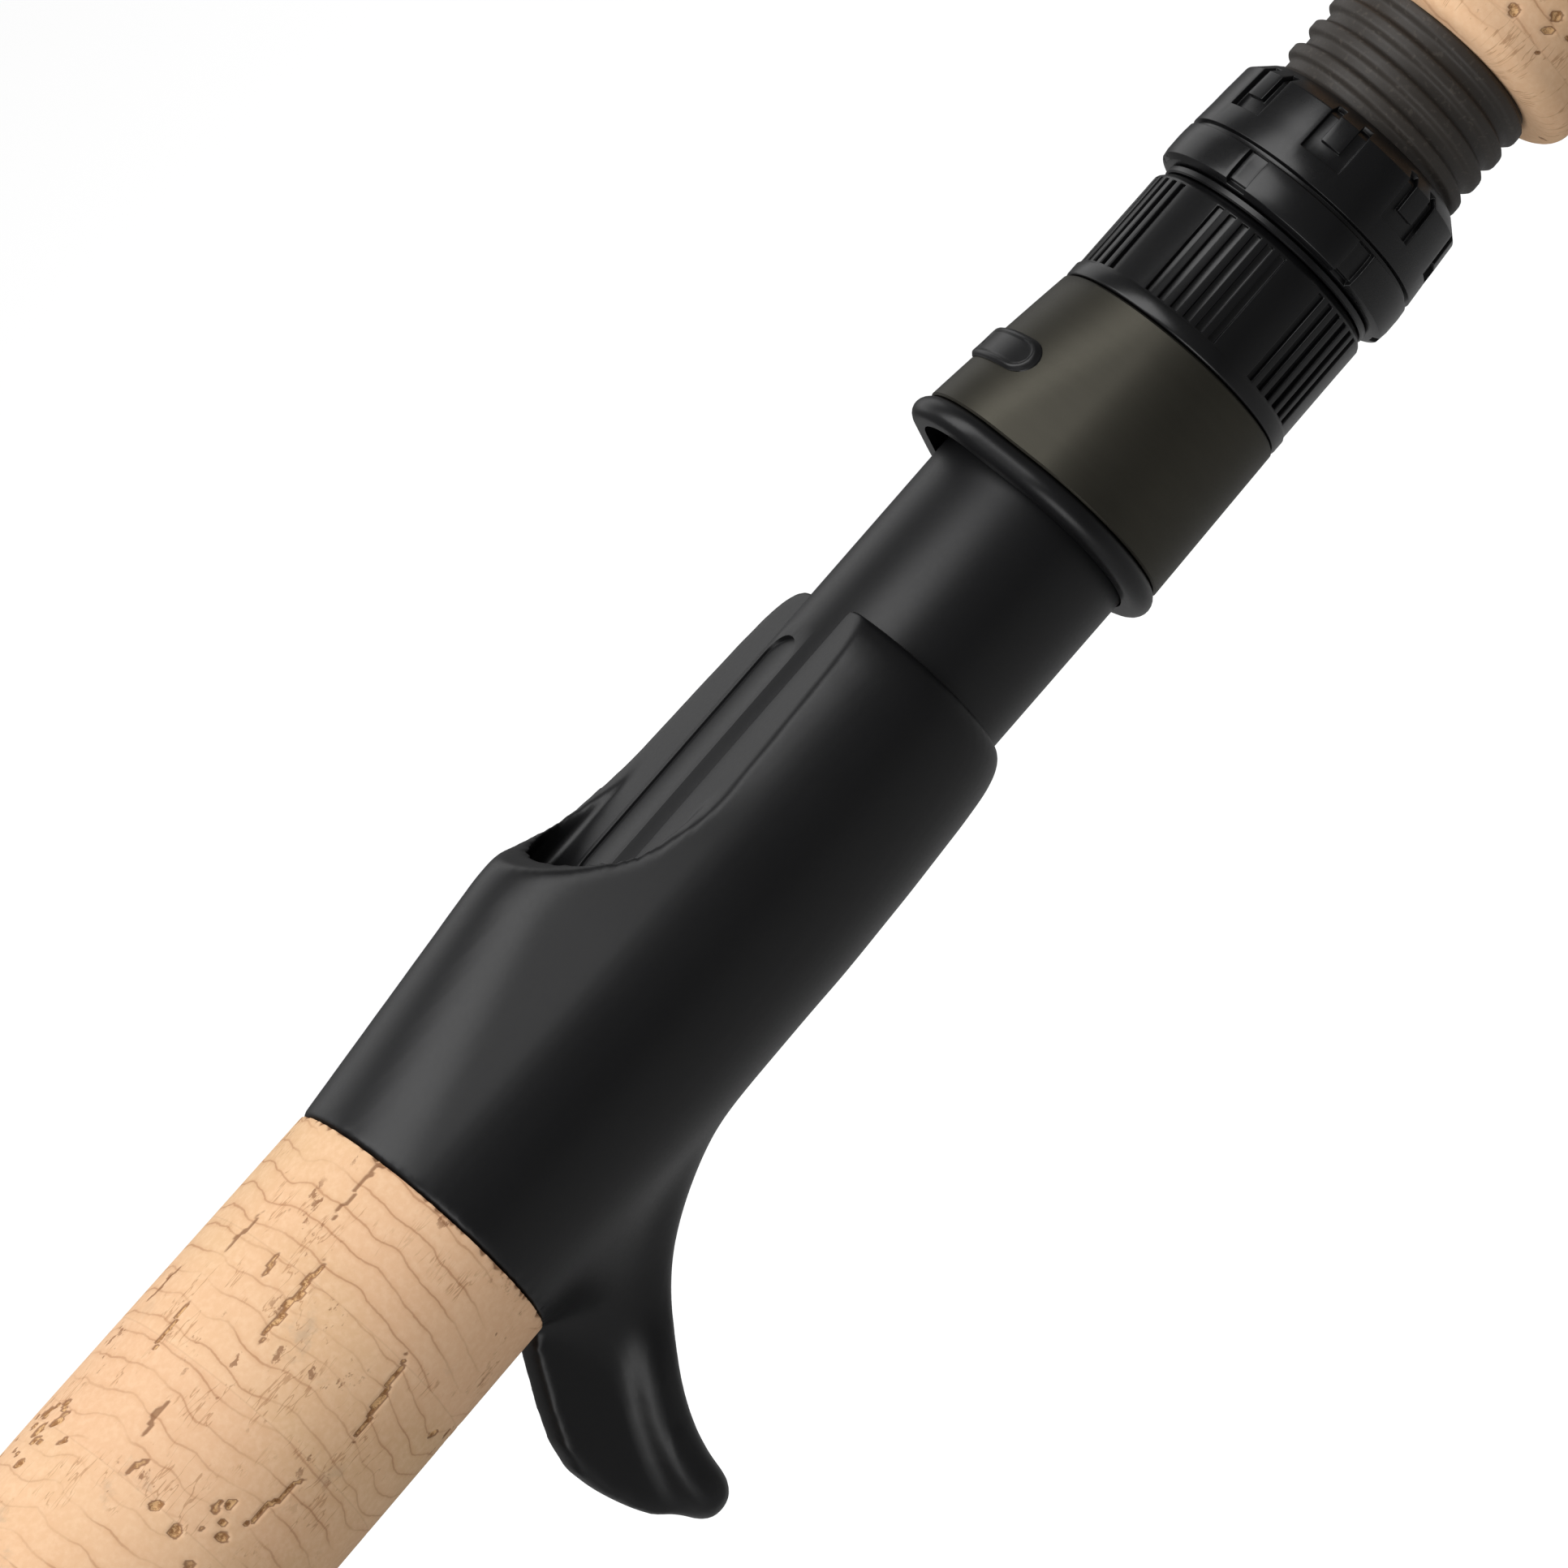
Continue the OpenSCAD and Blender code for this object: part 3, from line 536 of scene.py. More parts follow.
def remeshed(piece, size):
    apply(piece, "REMESH", mode="VOXEL", voxel_size=size, use_smooth_shade=True)


def softened(piece, weight, steps):
    # smooths a piece where weight, a function of its points, is above zero
    co = np.empty(len(piece.data.vertices) * 3)
    piece.data.vertices.foreach_get("co", co)
    amount = weight(co.reshape(-1, 3))
    group = piece.vertex_groups.new(name="soft")
    for level in range(1, 11):
        picked = np.nonzero(np.ceil(amount * 10) == level)[0]
        group.add(picked.tolist(), level / 10, "REPLACE")
    apply(piece, "SMOOTH", factor=0.5, iterations=steps, vertex_group="soft")
    piece.vertex_groups.clear()


def nearRoot(co):
    # 1 where the trigger leaves the body, 0 away from it
    x, z = (co[:, 0] - seatX) / mm, co[:, 2] / mm
    return ease(z, -27, -20) * (1 - ease(z, -12, -4)) * (1 - ease(x, 38, 46)) * ease(x, 0.5, 5)


def nearLip(co):
    # 1 along the rim of the pocket and the rear of the rails, 0 away from it
    x, z = (co[:, 0] - seatX - seat["lip"]) / mm, (co[:, 2] - seat["shoulderHeight"]) / mm
    return ease(x, -4, -1.5) * (1 - ease(x, 10, 20)) * ease(z, 0.7, 1.5)


def makeSeatBody():
    # the shapes become one skin, are smoothed into each other, then hollowed and given a fine skin
    piece = joined([makeBody(), makeBand(), makeWeb(), makeKeel()])
    remeshed(piece, seat["firstVoxel"])
    softened(piece, nearRoot, 90)
    softened(piece, lambda co: ease(-co[:, 2] / mm, 16, 20), 8)
    cutAway(piece, shoulderCutter())
    cutAway(piece, pocketCutter())
    remeshed(piece, seat["voxel"])
    softened(piece, lambda co: ease((co[:, 0] - seatX) / mm, 0.6, 1.6), 2)
    softened(piece, nearLip, 18)
    smoothShade(piece)
    return piece


def makeBarrel():
    # a tube with a shallow slot in its crown; the rings between its ends keep the cut faces short
    r, bore = seat["barrelRadius"], seat["bore"]
    back, end = seatX + seat["barrelRear"], seatX + seat["barrelLength"]
    outline = [(back, bore), (back, r), (seatX + 33 * mm, r), (seatX + 50 * mm, r), (seatX + 66 * mm, r),
               (end - 0.5 * mm, r), (end, r - 0.15 * mm), (end, bore)]
    piece = turned("seatBarrel", outline, sides=160)
    start, length, width, depth = seat["slot"]
    half = width / 2
    rear, front = seatX + start + half, seatX + start + length - half
    rim = [(rear - half * sin(pi * k / 16), half * cos(pi * k / 16)) for k in range(17)]
    rim += [(front + half * sin(pi * k / 16), -half * cos(pi * k / 16)) for k in range(17)]
    cutAway(piece, makeCutter("slotCutter", rim, 2, r - depth, 3 * mm))
    apply(piece, "BEVEL", width=0.12 * mm, segments=2, limit_method="ANGLE", angle_limit=radians(40))
    smoothShade(piece, 35)
    return piece


def makeThread():
    # one rounded ridge that winds forward once in each pitch, closed along the bore
    start, end = seatX + seat["barrelLength"] - 0.2 * mm, seatEnd
    pitch, sides = thread["pitch"], thread["sides"]
    steps = ceil((end - start) / pitch * thread["perTurn"])
    rings = [ringPoints(start, lambda a: seat["bore"], sides)]
    for k in range(steps + 1):
        x = start + (end - start) * k / steps

        def radius(a):
            phase = ((x - start) / pitch - a / (2 * pi)) % 1
            flank = float(ease(abs(phase - 0.5), 0.14, 0.36))
            return thread["crest"] - thread["depth"] * flank

        rings.append(ringPoints(x, radius, sides))
    rings.append(ringPoints(end, lambda a: seat["bore"], sides))
    piece = skinned("seatThread", rings, capped=False)
    smoothShade(piece, 50)
    return piece


def satinBlack(name, base=(0.003, 0.003, 0.0034), roughness=0.4, ior=1.38, bump=0.3):
    finish = Finish(name, IOR=ior)
    cloud = finish.noise(45, 4)
    grain = finish.noise(2600, 2)
    finish.feed(Base_Color=finish.blend(cloud, base, tuple(1.5 * c for c in base)),
                Roughness=cloud * 0.1 + grain * 0.08 + (roughness - 0.09))
    finish.relief(grain, 0.012 * mm, bump)
    return finish


def threadBrown():
    finish = Finish("threadBrown", IOR=1.4)
    cloud = finish.noise(120, 5)
    speck = finish.noise(1700, 3)
    dust = speck.step(0.56, 0.7)
    base = finish.blend(cloud, (0.021, 0.0175, 0.0145), (0.036, 0.03, 0.025))
    finish.feed(Base_Color=finish.blend(dust * 0.5, base, (0.07, 0.06, 0.05)), Roughness=speck * 0.2 + 0.45)
    finish.relief(speck, 0.03 * mm, 0.5)
    return finish


seatBlack = satinBlack("seatBlack")
seatBody = makeSeatBody()
dress(seatBody, seatBlack)
finished(seatBody, "root", "reel_seat")
seatBarrel = makeBarrel()
dress(seatBarrel, seatBlack)
finished(seatBarrel, "root", "reel_seat")
seatThread = makeThread()
dress(seatThread, threadBrown())
finished(seatThread, "root", "reel_seat")
print("reel seat:", len(seatBody.data.polygons), "faces in the body")


# Moving hood
hood = {
    "length": 20.4 * mm,
    "boreRadius": 11.4 * mm,
    "low": (13.35 * mm, 12.95 * mm),   # radius of the round underside at the mouth and at the front
    "topRadius": 8 * mm,
    "topHeight": 16.2 * mm,
    "bandWall": 0.7 * mm,
    "linerWall": 1.2 * mm,
    "rimWidth": 2.8 * mm,
    "rimProud": 0.5 * mm,
    "pocket": 13.9 * mm,
    "boss": (4 * mm, 11 * mm, 0.45 * mm),   # length, width, height over the band
    "sides": 180,
}


def hoodSkin(x, offset, angle):
    # distance from the axis to the hood's skin, which is tall at the mouth and round at the front
    share = x / hood["length"]
    low = hood["low"][0] + (hood["low"][1] - hood["low"][0]) * share
    top = hood["topRadius"] + (low - hood["topRadius"]) * share
    dist = (hood["topHeight"] - hood["topRadius"]) * (1 - share)
    return eggRadius(angle, low + offset, top + offset, dist)


def hoodRing(x, offset):
    return ringPoints(hoodX + x, lambda a: hoodSkin(x, offset, a), hood["sides"])


def roundRing(x, radius):
    return ringPoints(x, lambda a: radius, hood["sides"])


def makeHoodLiner():
    # from the rounded lip along the outside, then back through the bore and the pocket
    wall, half = hood["bandWall"], hood["rimWidth"] / 2
    rings = []
    for k in range(13):
        x = half * (1 - cos(pi * k / 12))
        rings.append(hoodRing(x, hood["rimProud"] - half + sqrt(max(0.0, half ** 2 - (x - half) ** 2))))
    rings.append(hoodRing(2 * half + 0.1 * mm, -wall))
    rings += [hoodRing(hood["length"] * k / 8, -wall) for k in range(2, 9)]
    bore = hood["boreRadius"]
    inner = -wall - hood["linerWall"]
    rings.append(roundRing(hoodX + hood["length"], bore))
    rings.append(roundRing(hoodX + hood["pocket"] + 0.05 * mm, bore))
    for k in range(6):
        x = hood["pocket"] * (1 - k / 5)
        rings.append(ringPoints(hoodX + x, lambda a: max(bore, hoodSkin(x, inner, a)), hood["sides"]))
    piece = joined([skinned("hoodLiner", rings, capped=False), makeBoss()])
    smoothShade(piece, 42)
    return piece


def bossRise(x, y):
    # height of the hood's skin over a point
    share = x / hood["length"]
    skin = hood["topRadius"] + (hood["low"][0] - hood["topRadius"]) * share
    dist = (hood["topHeight"] - hood["topRadius"]) * (1 - share)
    return sqrt(max(0.0, skin ** 2 - y ** 2)) + dist


def bossShape(inward):
    # a rounded rim round a slightly sunken middle, as a share of the boss's height
    return float(ease(inward, -0.1 * mm, 0.4 * mm) - 0.45 * ease(inward, 0.55 * mm, 0.8 * mm))


def makeBoss():
    # an oval across the band: slices from one end to the other, each following the skin
    length, width, height = hood["boss"]
    half = length / 2
    straight = width / 2 - half
    rings = []
    for k in range(61):
        y = -width / 2 * cos(pi * k / 60)
        past = max(0.0, abs(y) - straight)
        reach = max(0.02 * mm, sqrt(max(0.0, half ** 2 - past ** 2)))
        ring = []
        for n in range(25):
            x = -reach * cos(pi * n / 24)
            inward = half - sqrt(past ** 2 + x ** 2)
            top = bossRise(hood["length"] / 2 + x, y) + height * bossShape(inward)
            ring.append((hoodX + hood["length"] / 2 + x, y, top))
        foot = bossRise(hood["length"] / 2, y) - 1.2 * mm
        ring += [(ring[-1][0], y, foot), (ring[0][0], y, foot)]
        rings.append(ring)
    return skinned("hoodBoss", rings)


def makeHoodBand():
    wall, start = hood["bandWall"], hood["rimWidth"]
    edge = 0.2 * mm
    stations = [(start, -edge), (start + edge, 0)]
    stations += [(start + (hood["length"] - start) * k / 10, 0) for k in range(1, 10)]
    stations += [(hood["length"] - edge, 0), (hood["length"], -edge)]
    stations += [(hood["length"], -wall), (start, -wall)]
    piece = skinned("hoodBand", [hoodRing(x, offset) for x, offset in stations], capped=False)
    smoothShade(piece, 40)
    return piece


def hoodMetal():
    finish = Finish("hoodMetal", Metallic=1.0)
    drawn = finish.noise(900, 2, stretch=(1, 0.12, 0.12))
    cloud = finish.noise(70, 3)
    grit = finish.noise(5200, 2)
    base = finish.blend(cloud, (0.046, 0.0435, 0.035), (0.058, 0.055, 0.045))
    finish.feed(Base_Color=finish.blend(drawn * 0.35, base, (0.075, 0.07, 0.057)),
                Roughness=cloud * 0.08 + grit * 0.1 + 0.41)
    finish.relief(drawn + grit, 0.01 * mm, 0.25)
    return finish


hoodBlack = satinBlack("hoodBlack", roughness=0.36)
hoodLiner = makeHoodLiner()
dress(hoodLiner, hoodBlack)
finished(hoodLiner, "hood", "hood_liner")
hoodBand = makeHoodBand()
dress(hoodBand, hoodMetal())
finished(hoodBand, "hood", "hood_band")
print("moving hood made")


# Lock nut, slip washer and jam nut
lockNut = {"bore": 11.15 * mm, "crest": 12.7 * mm, "flange": 2 * mm, "ribDepth": 0.55 * mm, "groups": 6,
           "columns": 17, "grooves": (1, 3, 5, 7, 9, 11)}
jamNut = {"bore": 11.15 * mm, "pad": 13.6 * mm, "padLength": 4.4 * mm, "padDepth": 0.75 * mm, "pads": 6,
          "padGap": 4, "collar": (13.4 * mm, 12.9 * mm), "chamfer": 1.6 * mm, "line": 0.35 * mm,
          "notches": 8, "notchLength": 4.6 * mm, "notchBar": 1.6 * mm, "notchDepth": 0.6 * mm,
          "notchShort": 0.7 * mm, "notchColumns": 8, "notchLegs": (0, 1, 6, 7), "sides": 144}


def pickFaces(piece, wanted):
    # selects the faces whose middle is wanted, given as x, an angle about the axis and a distance from it
    bpy.ops.mesh.select_mode(type="FACE")
    bpy.ops.mesh.select_all(action="DESELECT")
    bpy.ops.object.mode_set(mode="OBJECT")
    for face in piece.data.polygons:
        middle = face.center
        turn = atan2(middle.z, middle.y) % (2 * pi)
        face.select = bool(wanted(middle.x, turn, sqrt(middle.y ** 2 + middle.z ** 2)))
    bpy.ops.object.mode_set(mode="EDIT")


def pushIn(depth):
    # sinks the selected faces
    bpy.ops.mesh.extrude_region_shrink_fatten(TRANSFORM_OT_shrink_fatten={"value": -depth})


def makeLockNut():
    # a flanged sleeve with groups of grooves along it
    crest, bore = lockNut["crest"], lockNut["bore"]
    sides = lockNut["groups"] * lockNut["columns"]
    ribStart = lockX + lockNut["flange"]
    ribEnd = lockEnd - 1 * mm
    outline = [(lockX, bore), (lockX, crest + 0.05 * mm), (lockX + 0.2 * mm, crest + 0.22 * mm),
               (lockX + 1.5 * mm, crest + 0.22 * mm), (lockX + 1.75 * mm, crest + 0.08 * mm),
               (ribStart, crest), (ribEnd, crest), (ribEnd + 0.3 * mm, crest - 0.12 * mm),
               (lockEnd, crest - 0.75 * mm), (lockEnd, bore)]
    piece = turned("lockNut", outline, sides=sides)
    editing(piece)
    pickFaces(piece, lambda x, turn, r: ribStart < x < ribEnd and r > crest - 0.1 * mm
              and int(turn / (2 * pi) * sides) % lockNut["columns"] in lockNut["grooves"])
    pushIn(lockNut["ribDepth"])
    settle()
    apply(piece, "BEVEL", width=0.11 * mm, segments=2, limit_method="ANGLE", angle_limit=radians(35))
    smoothShade(piece, 35)
    return piece


def makeJamNut():
    # a row of pads at the rear and, in the collar in front of them, notches shaped like a U
    sides = jamNut["sides"]
    pad, line, padEnd = jamNut["pad"], jamNut["line"], jamX + jamNut["padLength"]
    collar, front = jamNut["collar"]
    chamferX = jamEnd - jamNut["chamfer"]
    low = pad - jamNut["padDepth"]
    notchX = chamferX - jamNut["notchLength"]
    barEnd = notchX + jamNut["notchBar"]
    notchEnd = jamEnd - jamNut["notchShort"]   # keeps the notches clear of the bore
    outline = [(jamX, jamNut["bore"]), (jamX, low - 0.1 * mm), (jamX + 0.05 * mm, low),
               (jamX + 0.35 * mm, pad - 0.12 * mm), (jamX + 1.2 * mm, pad), (padEnd - 1.5 * mm, pad),
               (padEnd - line, pad - 0.1 * mm), (padEnd - line * 0.6, low), (padEnd + line * 0.6, low),
               (padEnd + line, collar), (notchX, collar - 0.2 * mm), (barEnd, collar - 0.28 * mm),
               (chamferX, front), (notchEnd, front - jamNut["chamfer"] + jamNut["notchShort"]),
               (jamEnd, front - jamNut["chamfer"]), (jamEnd, jamNut["bore"])]
    piece = turned("jamNut", outline, sides=sides)
    editing(piece)
    perPad = sides // jamNut["pads"]
    pickFaces(piece, lambda x, turn, r: jamX + 0.1 * mm < x < padEnd - line and r > low
              and int(turn / (2 * pi) * sides) % perPad < jamNut["padGap"])
    pushIn(jamNut["padDepth"] * 0.85)
    perNotch = sides // jamNut["notches"]

    def inNotch(x, turn, r):
        column = int(turn / (2 * pi) * sides) % perNotch
        inColumn = column < jamNut["notchColumns"] if x < barEnd else column in jamNut["notchLegs"]
        return inColumn and notchX < x < notchEnd and r > front - jamNut["chamfer"]

    pickFaces(piece, inNotch)
    pushIn(jamNut["notchDepth"])
    settle()
    apply(piece, "BEVEL", width=0.16 * mm, segments=3, limit_method="ANGLE", angle_limit=radians(38))
    smoothShade(piece, 40)
    return piece


def makeSlipWasher():
    x0, x1 = (corner.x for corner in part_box("slip_washer"))
    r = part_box("slip_washer")[1].z
    edge = 0.15 * mm
    outline = [(x0, lockNut["bore"]), (x0, r - edge), (x0 + edge, r), (x1 - edge, r), (x1, r - edge),
               (x1, lockNut["bore"])]
    piece = turned("slipWasher", outline, sides=128)
    smoothShade(piece, 30)
    return piece


nutBlack = satinBlack("nutBlack", base=(0.0025, 0.0025, 0.0028), roughness=0.3, ior=1.4, bump=0.08)
for makePiece, body, slotName, node in (
        (makeLockNut, "lock_nut", "nut_black", "lock_nut"),
        (makeJamNut, "jam_nut", "nut_black", "jam_nut"),
        (makeSlipWasher, "washer", "washer_steel", "slip_washer")):
    nut = makePiece()
    dress(nut, nutBlack)
    finished(nut, body, node)
print("nuts and washer made")


# Cork grips
cork = {
    "ring": 12.7 * mm,
    "rearRadius": 15.4 * mm,
    "seatRadius": 15 * mm,
    "taper": 38.1 * mm,          # length over which the rear grip narrows to the seat
    "fineLength": 63.5 * mm,     # stretch next to the seat that is modelled finely
    "foreRadius": 14.3 * mm,
    "foreFront": 8.5 * mm,
    "foreEdge": 2.4 * mm,
    "bore": 6.2 * mm,
    "glueDepth": 0.02 * mm,
    "chipDepth": 0.3 * mm,
    # the rest are spans in millimetres
    "pitSize": (0.22, 0.62),
    "pitDepth": (0.14, 0.34),
    "crackLength": (1.2, 5.5),
    "crackWidth": (0.2, 0.36),
    "crackDepth": (0.1, 0.3),
}


def rearRadius(x):
    share = max(0.0, (x - (seatX - cork["taper"])) / cork["taper"])
    return cork["rearRadius"] + (cork["seatRadius"] - cork["rearRadius"]) * min(1.0, share)


def foreRadius(x):
    distance = x - foreX
    edge = cork["foreEdge"]
    lost = edge - sqrt(max(0.0, edge ** 2 - (edge - min(distance, edge)) ** 2))
    swell = cork["foreRadius"] - cork["foreFront"]
    return cork["foreFront"] + swell * (1 - float(ease(distance / (foreEnd - foreX), 0.3, 1))) - lost


def gripSurface(start, end, spacing, radiusAt):
    # closely spaced points, as x and radius, from one end of a grip to the other
    count = max(2, round((end - start) / spacing))
    places = [start + (end - start) * k / count for k in range(count + 1)]
    return [(x, radiusAt(x)) for x in places]


def corkFlaws(length, count, rng):
    # pits in clusters, then cracks, as rows of x, angle, half length along the rod, half width round it,
    # depth and slant
    rows = []
    clusters = max(2, count // 9)
    centres = rng.uniform((0, 0), (length, 2 * pi), (clusters, 2))
    for n in range(count):
        x, turn = centres[n % clusters] + rng.normal(0, 1, 2) * (1.9 * mm, 0.2)
        size = rng.uniform(*cork["pitSize"]) * mm
        rows.append((x, turn, size * rng.uniform(0.8, 1.6), size,
                     rng.uniform(*cork["pitDepth"]) * mm, rng.normal(0, 0.25)))
    for n in range(count // 3):
        x, turn = rng.uniform(0, length), rng.uniform(0, 2 * pi)
        rows.append((x, turn, rng.uniform(*cork["crackLength"]) * mm, rng.uniform(*cork["crackWidth"]) * mm,
                     rng.uniform(*cork["crackDepth"]) * mm, rng.normal(0, 0.1)))
    return rows


def carve(piece, radiusAt, flaws, start, rng):
    # pushes the flaws into the surface and keeps how deep each point went in the attribute "flaw"
    mesh = piece.data
    co = np.empty(len(mesh.vertices) * 3)
    mesh.vertices.foreach_get("co", co)
    co = co.reshape(-1, 3)
    radius = np.hypot(co[:, 1], co[:, 2])
    turn = np.arctan2(co[:, 2], co[:, 1])
    depth = np.zeros(len(co))
    wobble = np.sin(turn * 37 + co[:, 0] * 2300) * 0.3 + np.sin(turn * 71 - co[:, 0] * 5200) * 0.25
    for x, angle, halfLength, halfWidth, deep, slant in flaws:
        ahead = co[:, 0] - start - x
        near = np.abs(ahead) < halfLength * 1.6
        around = (turn[near] - angle + pi) % (2 * pi) - pi
        bend = 0.16 * mm * np.sin(ahead[near] / mm * 2.1 + angle * 9)
        aside = around * radius[near] - slant * ahead[near] + bend
        reach = (ahead[near] / halfLength) ** 2 + (aside / halfWidth) ** 2
        ragged = 0.9 if halfLength < 1.1 * mm else 0.25   # pits have rougher edges than cracks
        reach = reach * (1 + ragged * wobble[near])
        depth[near] = np.maximum(depth[near], deep * (1 - ease(reach, 0.45, 1.15)))
    outside = radius > np.array([radiusAt(x) for x in co[:, 0]]) - 0.3 * mm
    depth *= outside
    ringPhase = (co[:, 0] - capEnd) / cork["ring"]
    joint = np.abs(ringPhase - np.round(ringPhase)) * cork["ring"]
    groove = outside * (1 - ease(joint, 0.0, 0.22 * mm)) * cork["glueDepth"]
    # chips along the edge that meets the seat
    torn = np.interp(turn, np.linspace(-pi, pi, 261), rng.uniform(0, 1, 261) ** 2)
    edge = np.abs(co[:, 0] - seatX)
    chip = outside * (1 - ease(edge, 0.02 * mm, 0.2 * mm + 0.5 * mm * torn)) * cork["chipDepth"] * torn
    sunk = depth + groove + chip
    scale = (radius - sunk) / np.maximum(radius, 1e-6)
    co[:, 1] *= scale
    co[:, 2] *= scale
    mesh.vertices.foreach_set("co", co.reshape(-1))
    layer = mesh.attributes.new("flaw", "FLOAT", "POINT")
    shares = np.clip((depth + chip * 0.6) / (0.3 * mm), 0, 1)
    layer.data.foreach_set("value", shares.astype(np.float32))


def makeGrip(name, start, end, spacing, sides, radiusAt, flawCount, seed):
    outline = gripSurface(start, end, spacing, radiusAt)
    outline = [(start, cork["bore"]), (start, outline[0][1] * 0.7)] + outline
    outline += [(end, outline[-1][1] * 0.7), (end, cork["bore"])]
    piece = turned(name, outline, sides=sides)
    rng = np.random.default_rng(seed)
    carve(piece, radiusAt, corkFlaws(end - start, flawCount, rng), start, rng)
    smoothShade(piece, 60)
    return piece


def naturalCork():
    finish = Finish("naturalCork", IOR=1.35)
    flaw = finish.attribute("flaw")
    # each ring of cork has its own tone, with darker tan clouds across it
    index = ((finish.x - capEnd) / cork["ring"]).through("FLOOR")
    tone = finish.make("ShaderNodeTexWhiteNoise", {"noise_dimensions": "1D"}, {"W": index})
    cloud = finish.noise(110, 5, stretch=(1, 0.7, 0.7))
    fine = finish.noise(1500, 4)
    base = finish.blend(cloud, (0.66, 0.4, 0.225), (0.79, 0.53, 0.325))
    base = finish.blend(tone * 0.35, base, (0.7, 0.41, 0.25))
    tan = finish.noise(38, 3, stretch=(1.3, 0.8, 0.8)).step(0.45, 0.68)
    base = finish.blend(tan * 0.45, base, (0.6, 0.4, 0.21))
    base = finish.blend(fine.step(0.35, 0.75) * 0.28, base, (0.86, 0.63, 0.42))
    # growth lines: thin wavy dark lines that run round the ring
    wander = finish.noise(48, 3, stretch=(0.35, 1, 1)) * 11 * mm
    wander = wander + finish.noise(330, 4, roughness=0.6) * 0.9 * mm
    spacing = (finish.x + wander + index * 3.3 * mm) / (2.7 * mm)
    off = (spacing.through("FRACT") - 0.5).through("ABSOLUTE")
    line = 1 - off.step(0.012, 0.06)
    strength = finish.noise(70, 2).step(0.34, 0.62)
    halo = 1 - off.step(0.0, 0.26)
    base = finish.blend(halo * 0.26 * strength, base, (0.5, 0.26, 0.13))
    base = finish.blend(line * strength * 0.5, base, (0.33, 0.14, 0.06))
    # axial hairlines where the rays of the bark cross the rings
    around = finish.around() * 15 * mm
    hair = finish.make("ShaderNodeCombineXYZ", {}, {0: finish.x * 0.16, 1: around, 2: index * 0.1})
    hair = finish.make("ShaderNodeTexNoise", {}, {
        "Vector": hair, "Scale": 620, "Detail": 3.0, "Roughness": 0.6})
    hair = (hair - 0.5).through("ABSOLUTE")
    hairs = (1 - hair.step(0.004, 0.016)) * finish.noise(130, 3).step(0.52, 0.6)
    base = finish.blend(hairs * 0.5, base, (0.33, 0.15, 0.06))
    # small dark specks and the grey-brown smudges near them
    speck = finish.noise(560, 4, stretch=(0.55, 1, 1), roughness=0.7)
    speck = speck.step(0.6, 0.66)
    patch = finish.noise(75, 2).step(0.5, 0.6)
    base = finish.blend(speck * patch * 0.75, base, (0.24, 0.11, 0.05))
    smudge = finish.noise(210, 5).step(0.6, 0.72) * finish.noise(60, 2).step(0.5, 0.64)
    base = finish.blend(smudge * 0.4, base, (0.34, 0.26, 0.19))
    # carved pits and cracks: a dark rim with crumbly orange-brown cork inside
    inside = flaw.step(0.34, 0.6)
    rim = flaw.step(0.05, 0.28)
    crumbs = finish.noise(1500, 4, roughness=0.7).step(0.42, 0.58)
    fill = finish.blend(crumbs, (0.3, 0.14, 0.05), (0.74, 0.46, 0.22))
    base = finish.blend(rim * 0.78, base, (0.2, 0.085, 0.035))
    base = finish.blend(inside * 0.85, base, fill)
    # thin dark glue lines between the rings
    joint = (index + 0.5 - (finish.x - capEnd) / cork["ring"]).through("ABSOLUTE")
    glue = joint.step(0.489, 0.499)
    base = finish.blend(glue * 0.14, base, (0.3, 0.15, 0.08))
    finish.feed(Base_Color=base, Roughness=0.86 - rim * 0.1 + fine * 0.08)
    finish.relief(fine * 0.5 - line * strength * 0.4 - speck * patch, 0.05 * mm, 0.5)
    return finish


fineStart = seatX - cork["fineLength"]
farStart = gripStart + cork["ring"]
corkFinish = naturalCork()
for pieceName, start, end, spacing, sides, radiusAt, flawCount, node in (
        ("rearGripNear", fineStart, seatX, 0.3 * mm, 288, rearRadius, 150, "rear_grip_rings"),
        ("rearGripFar", farStart, fineStart, 0.62 * mm, 180, rearRadius, 300, "rear_grip_rings"),
        ("foreGrip", foreX, foreEnd, 0.32 * mm, 250, foreRadius, 150, "fore_grip_rings")):
    grip = makeGrip(pieceName, start, end, spacing, sides, radiusAt, flawCount, len(pieceName))
    dress(grip, corkFinish)
    finished(grip, "root", node)
print("cork grips carved")


# Finishes of the pieces that keep their shape from the frame
def woundGraphite():
    # a clear-coated tube with the fine ridges that its wrapping tape leaves and a faint cross weave
    finish = Finish("woundGraphite", IOR=1.5, Coat_Weight=0.7, Coat_Roughness=0.06)
    turn = finish.around()
    tape = (finish.x * (2 * pi / (1.5 * mm)) + turn).through("SINE")
    right = (finish.x * (2 * pi / (0.9 * mm)) + turn * 12).through("SINE")
    left = (finish.x * (2 * pi / (0.9 * mm)) - turn * 12).through("SINE")
    weave = (right * left).step(-0.5, 0.5)
    cloud = finish.noise(160, 3)
    base = finish.blend(weave, (0.012, 0.0125, 0.014), (0.026, 0.027, 0.03))
    finish.feed(Base_Color=finish.blend(cloud * 0.4, base, (0.019, 0.019, 0.022)),
                Roughness=cloud * 0.12 + 0.26)
    finish.relief(tape * 0.6 + weave * 0.4, 0.02 * mm, 0.5)
    return finish


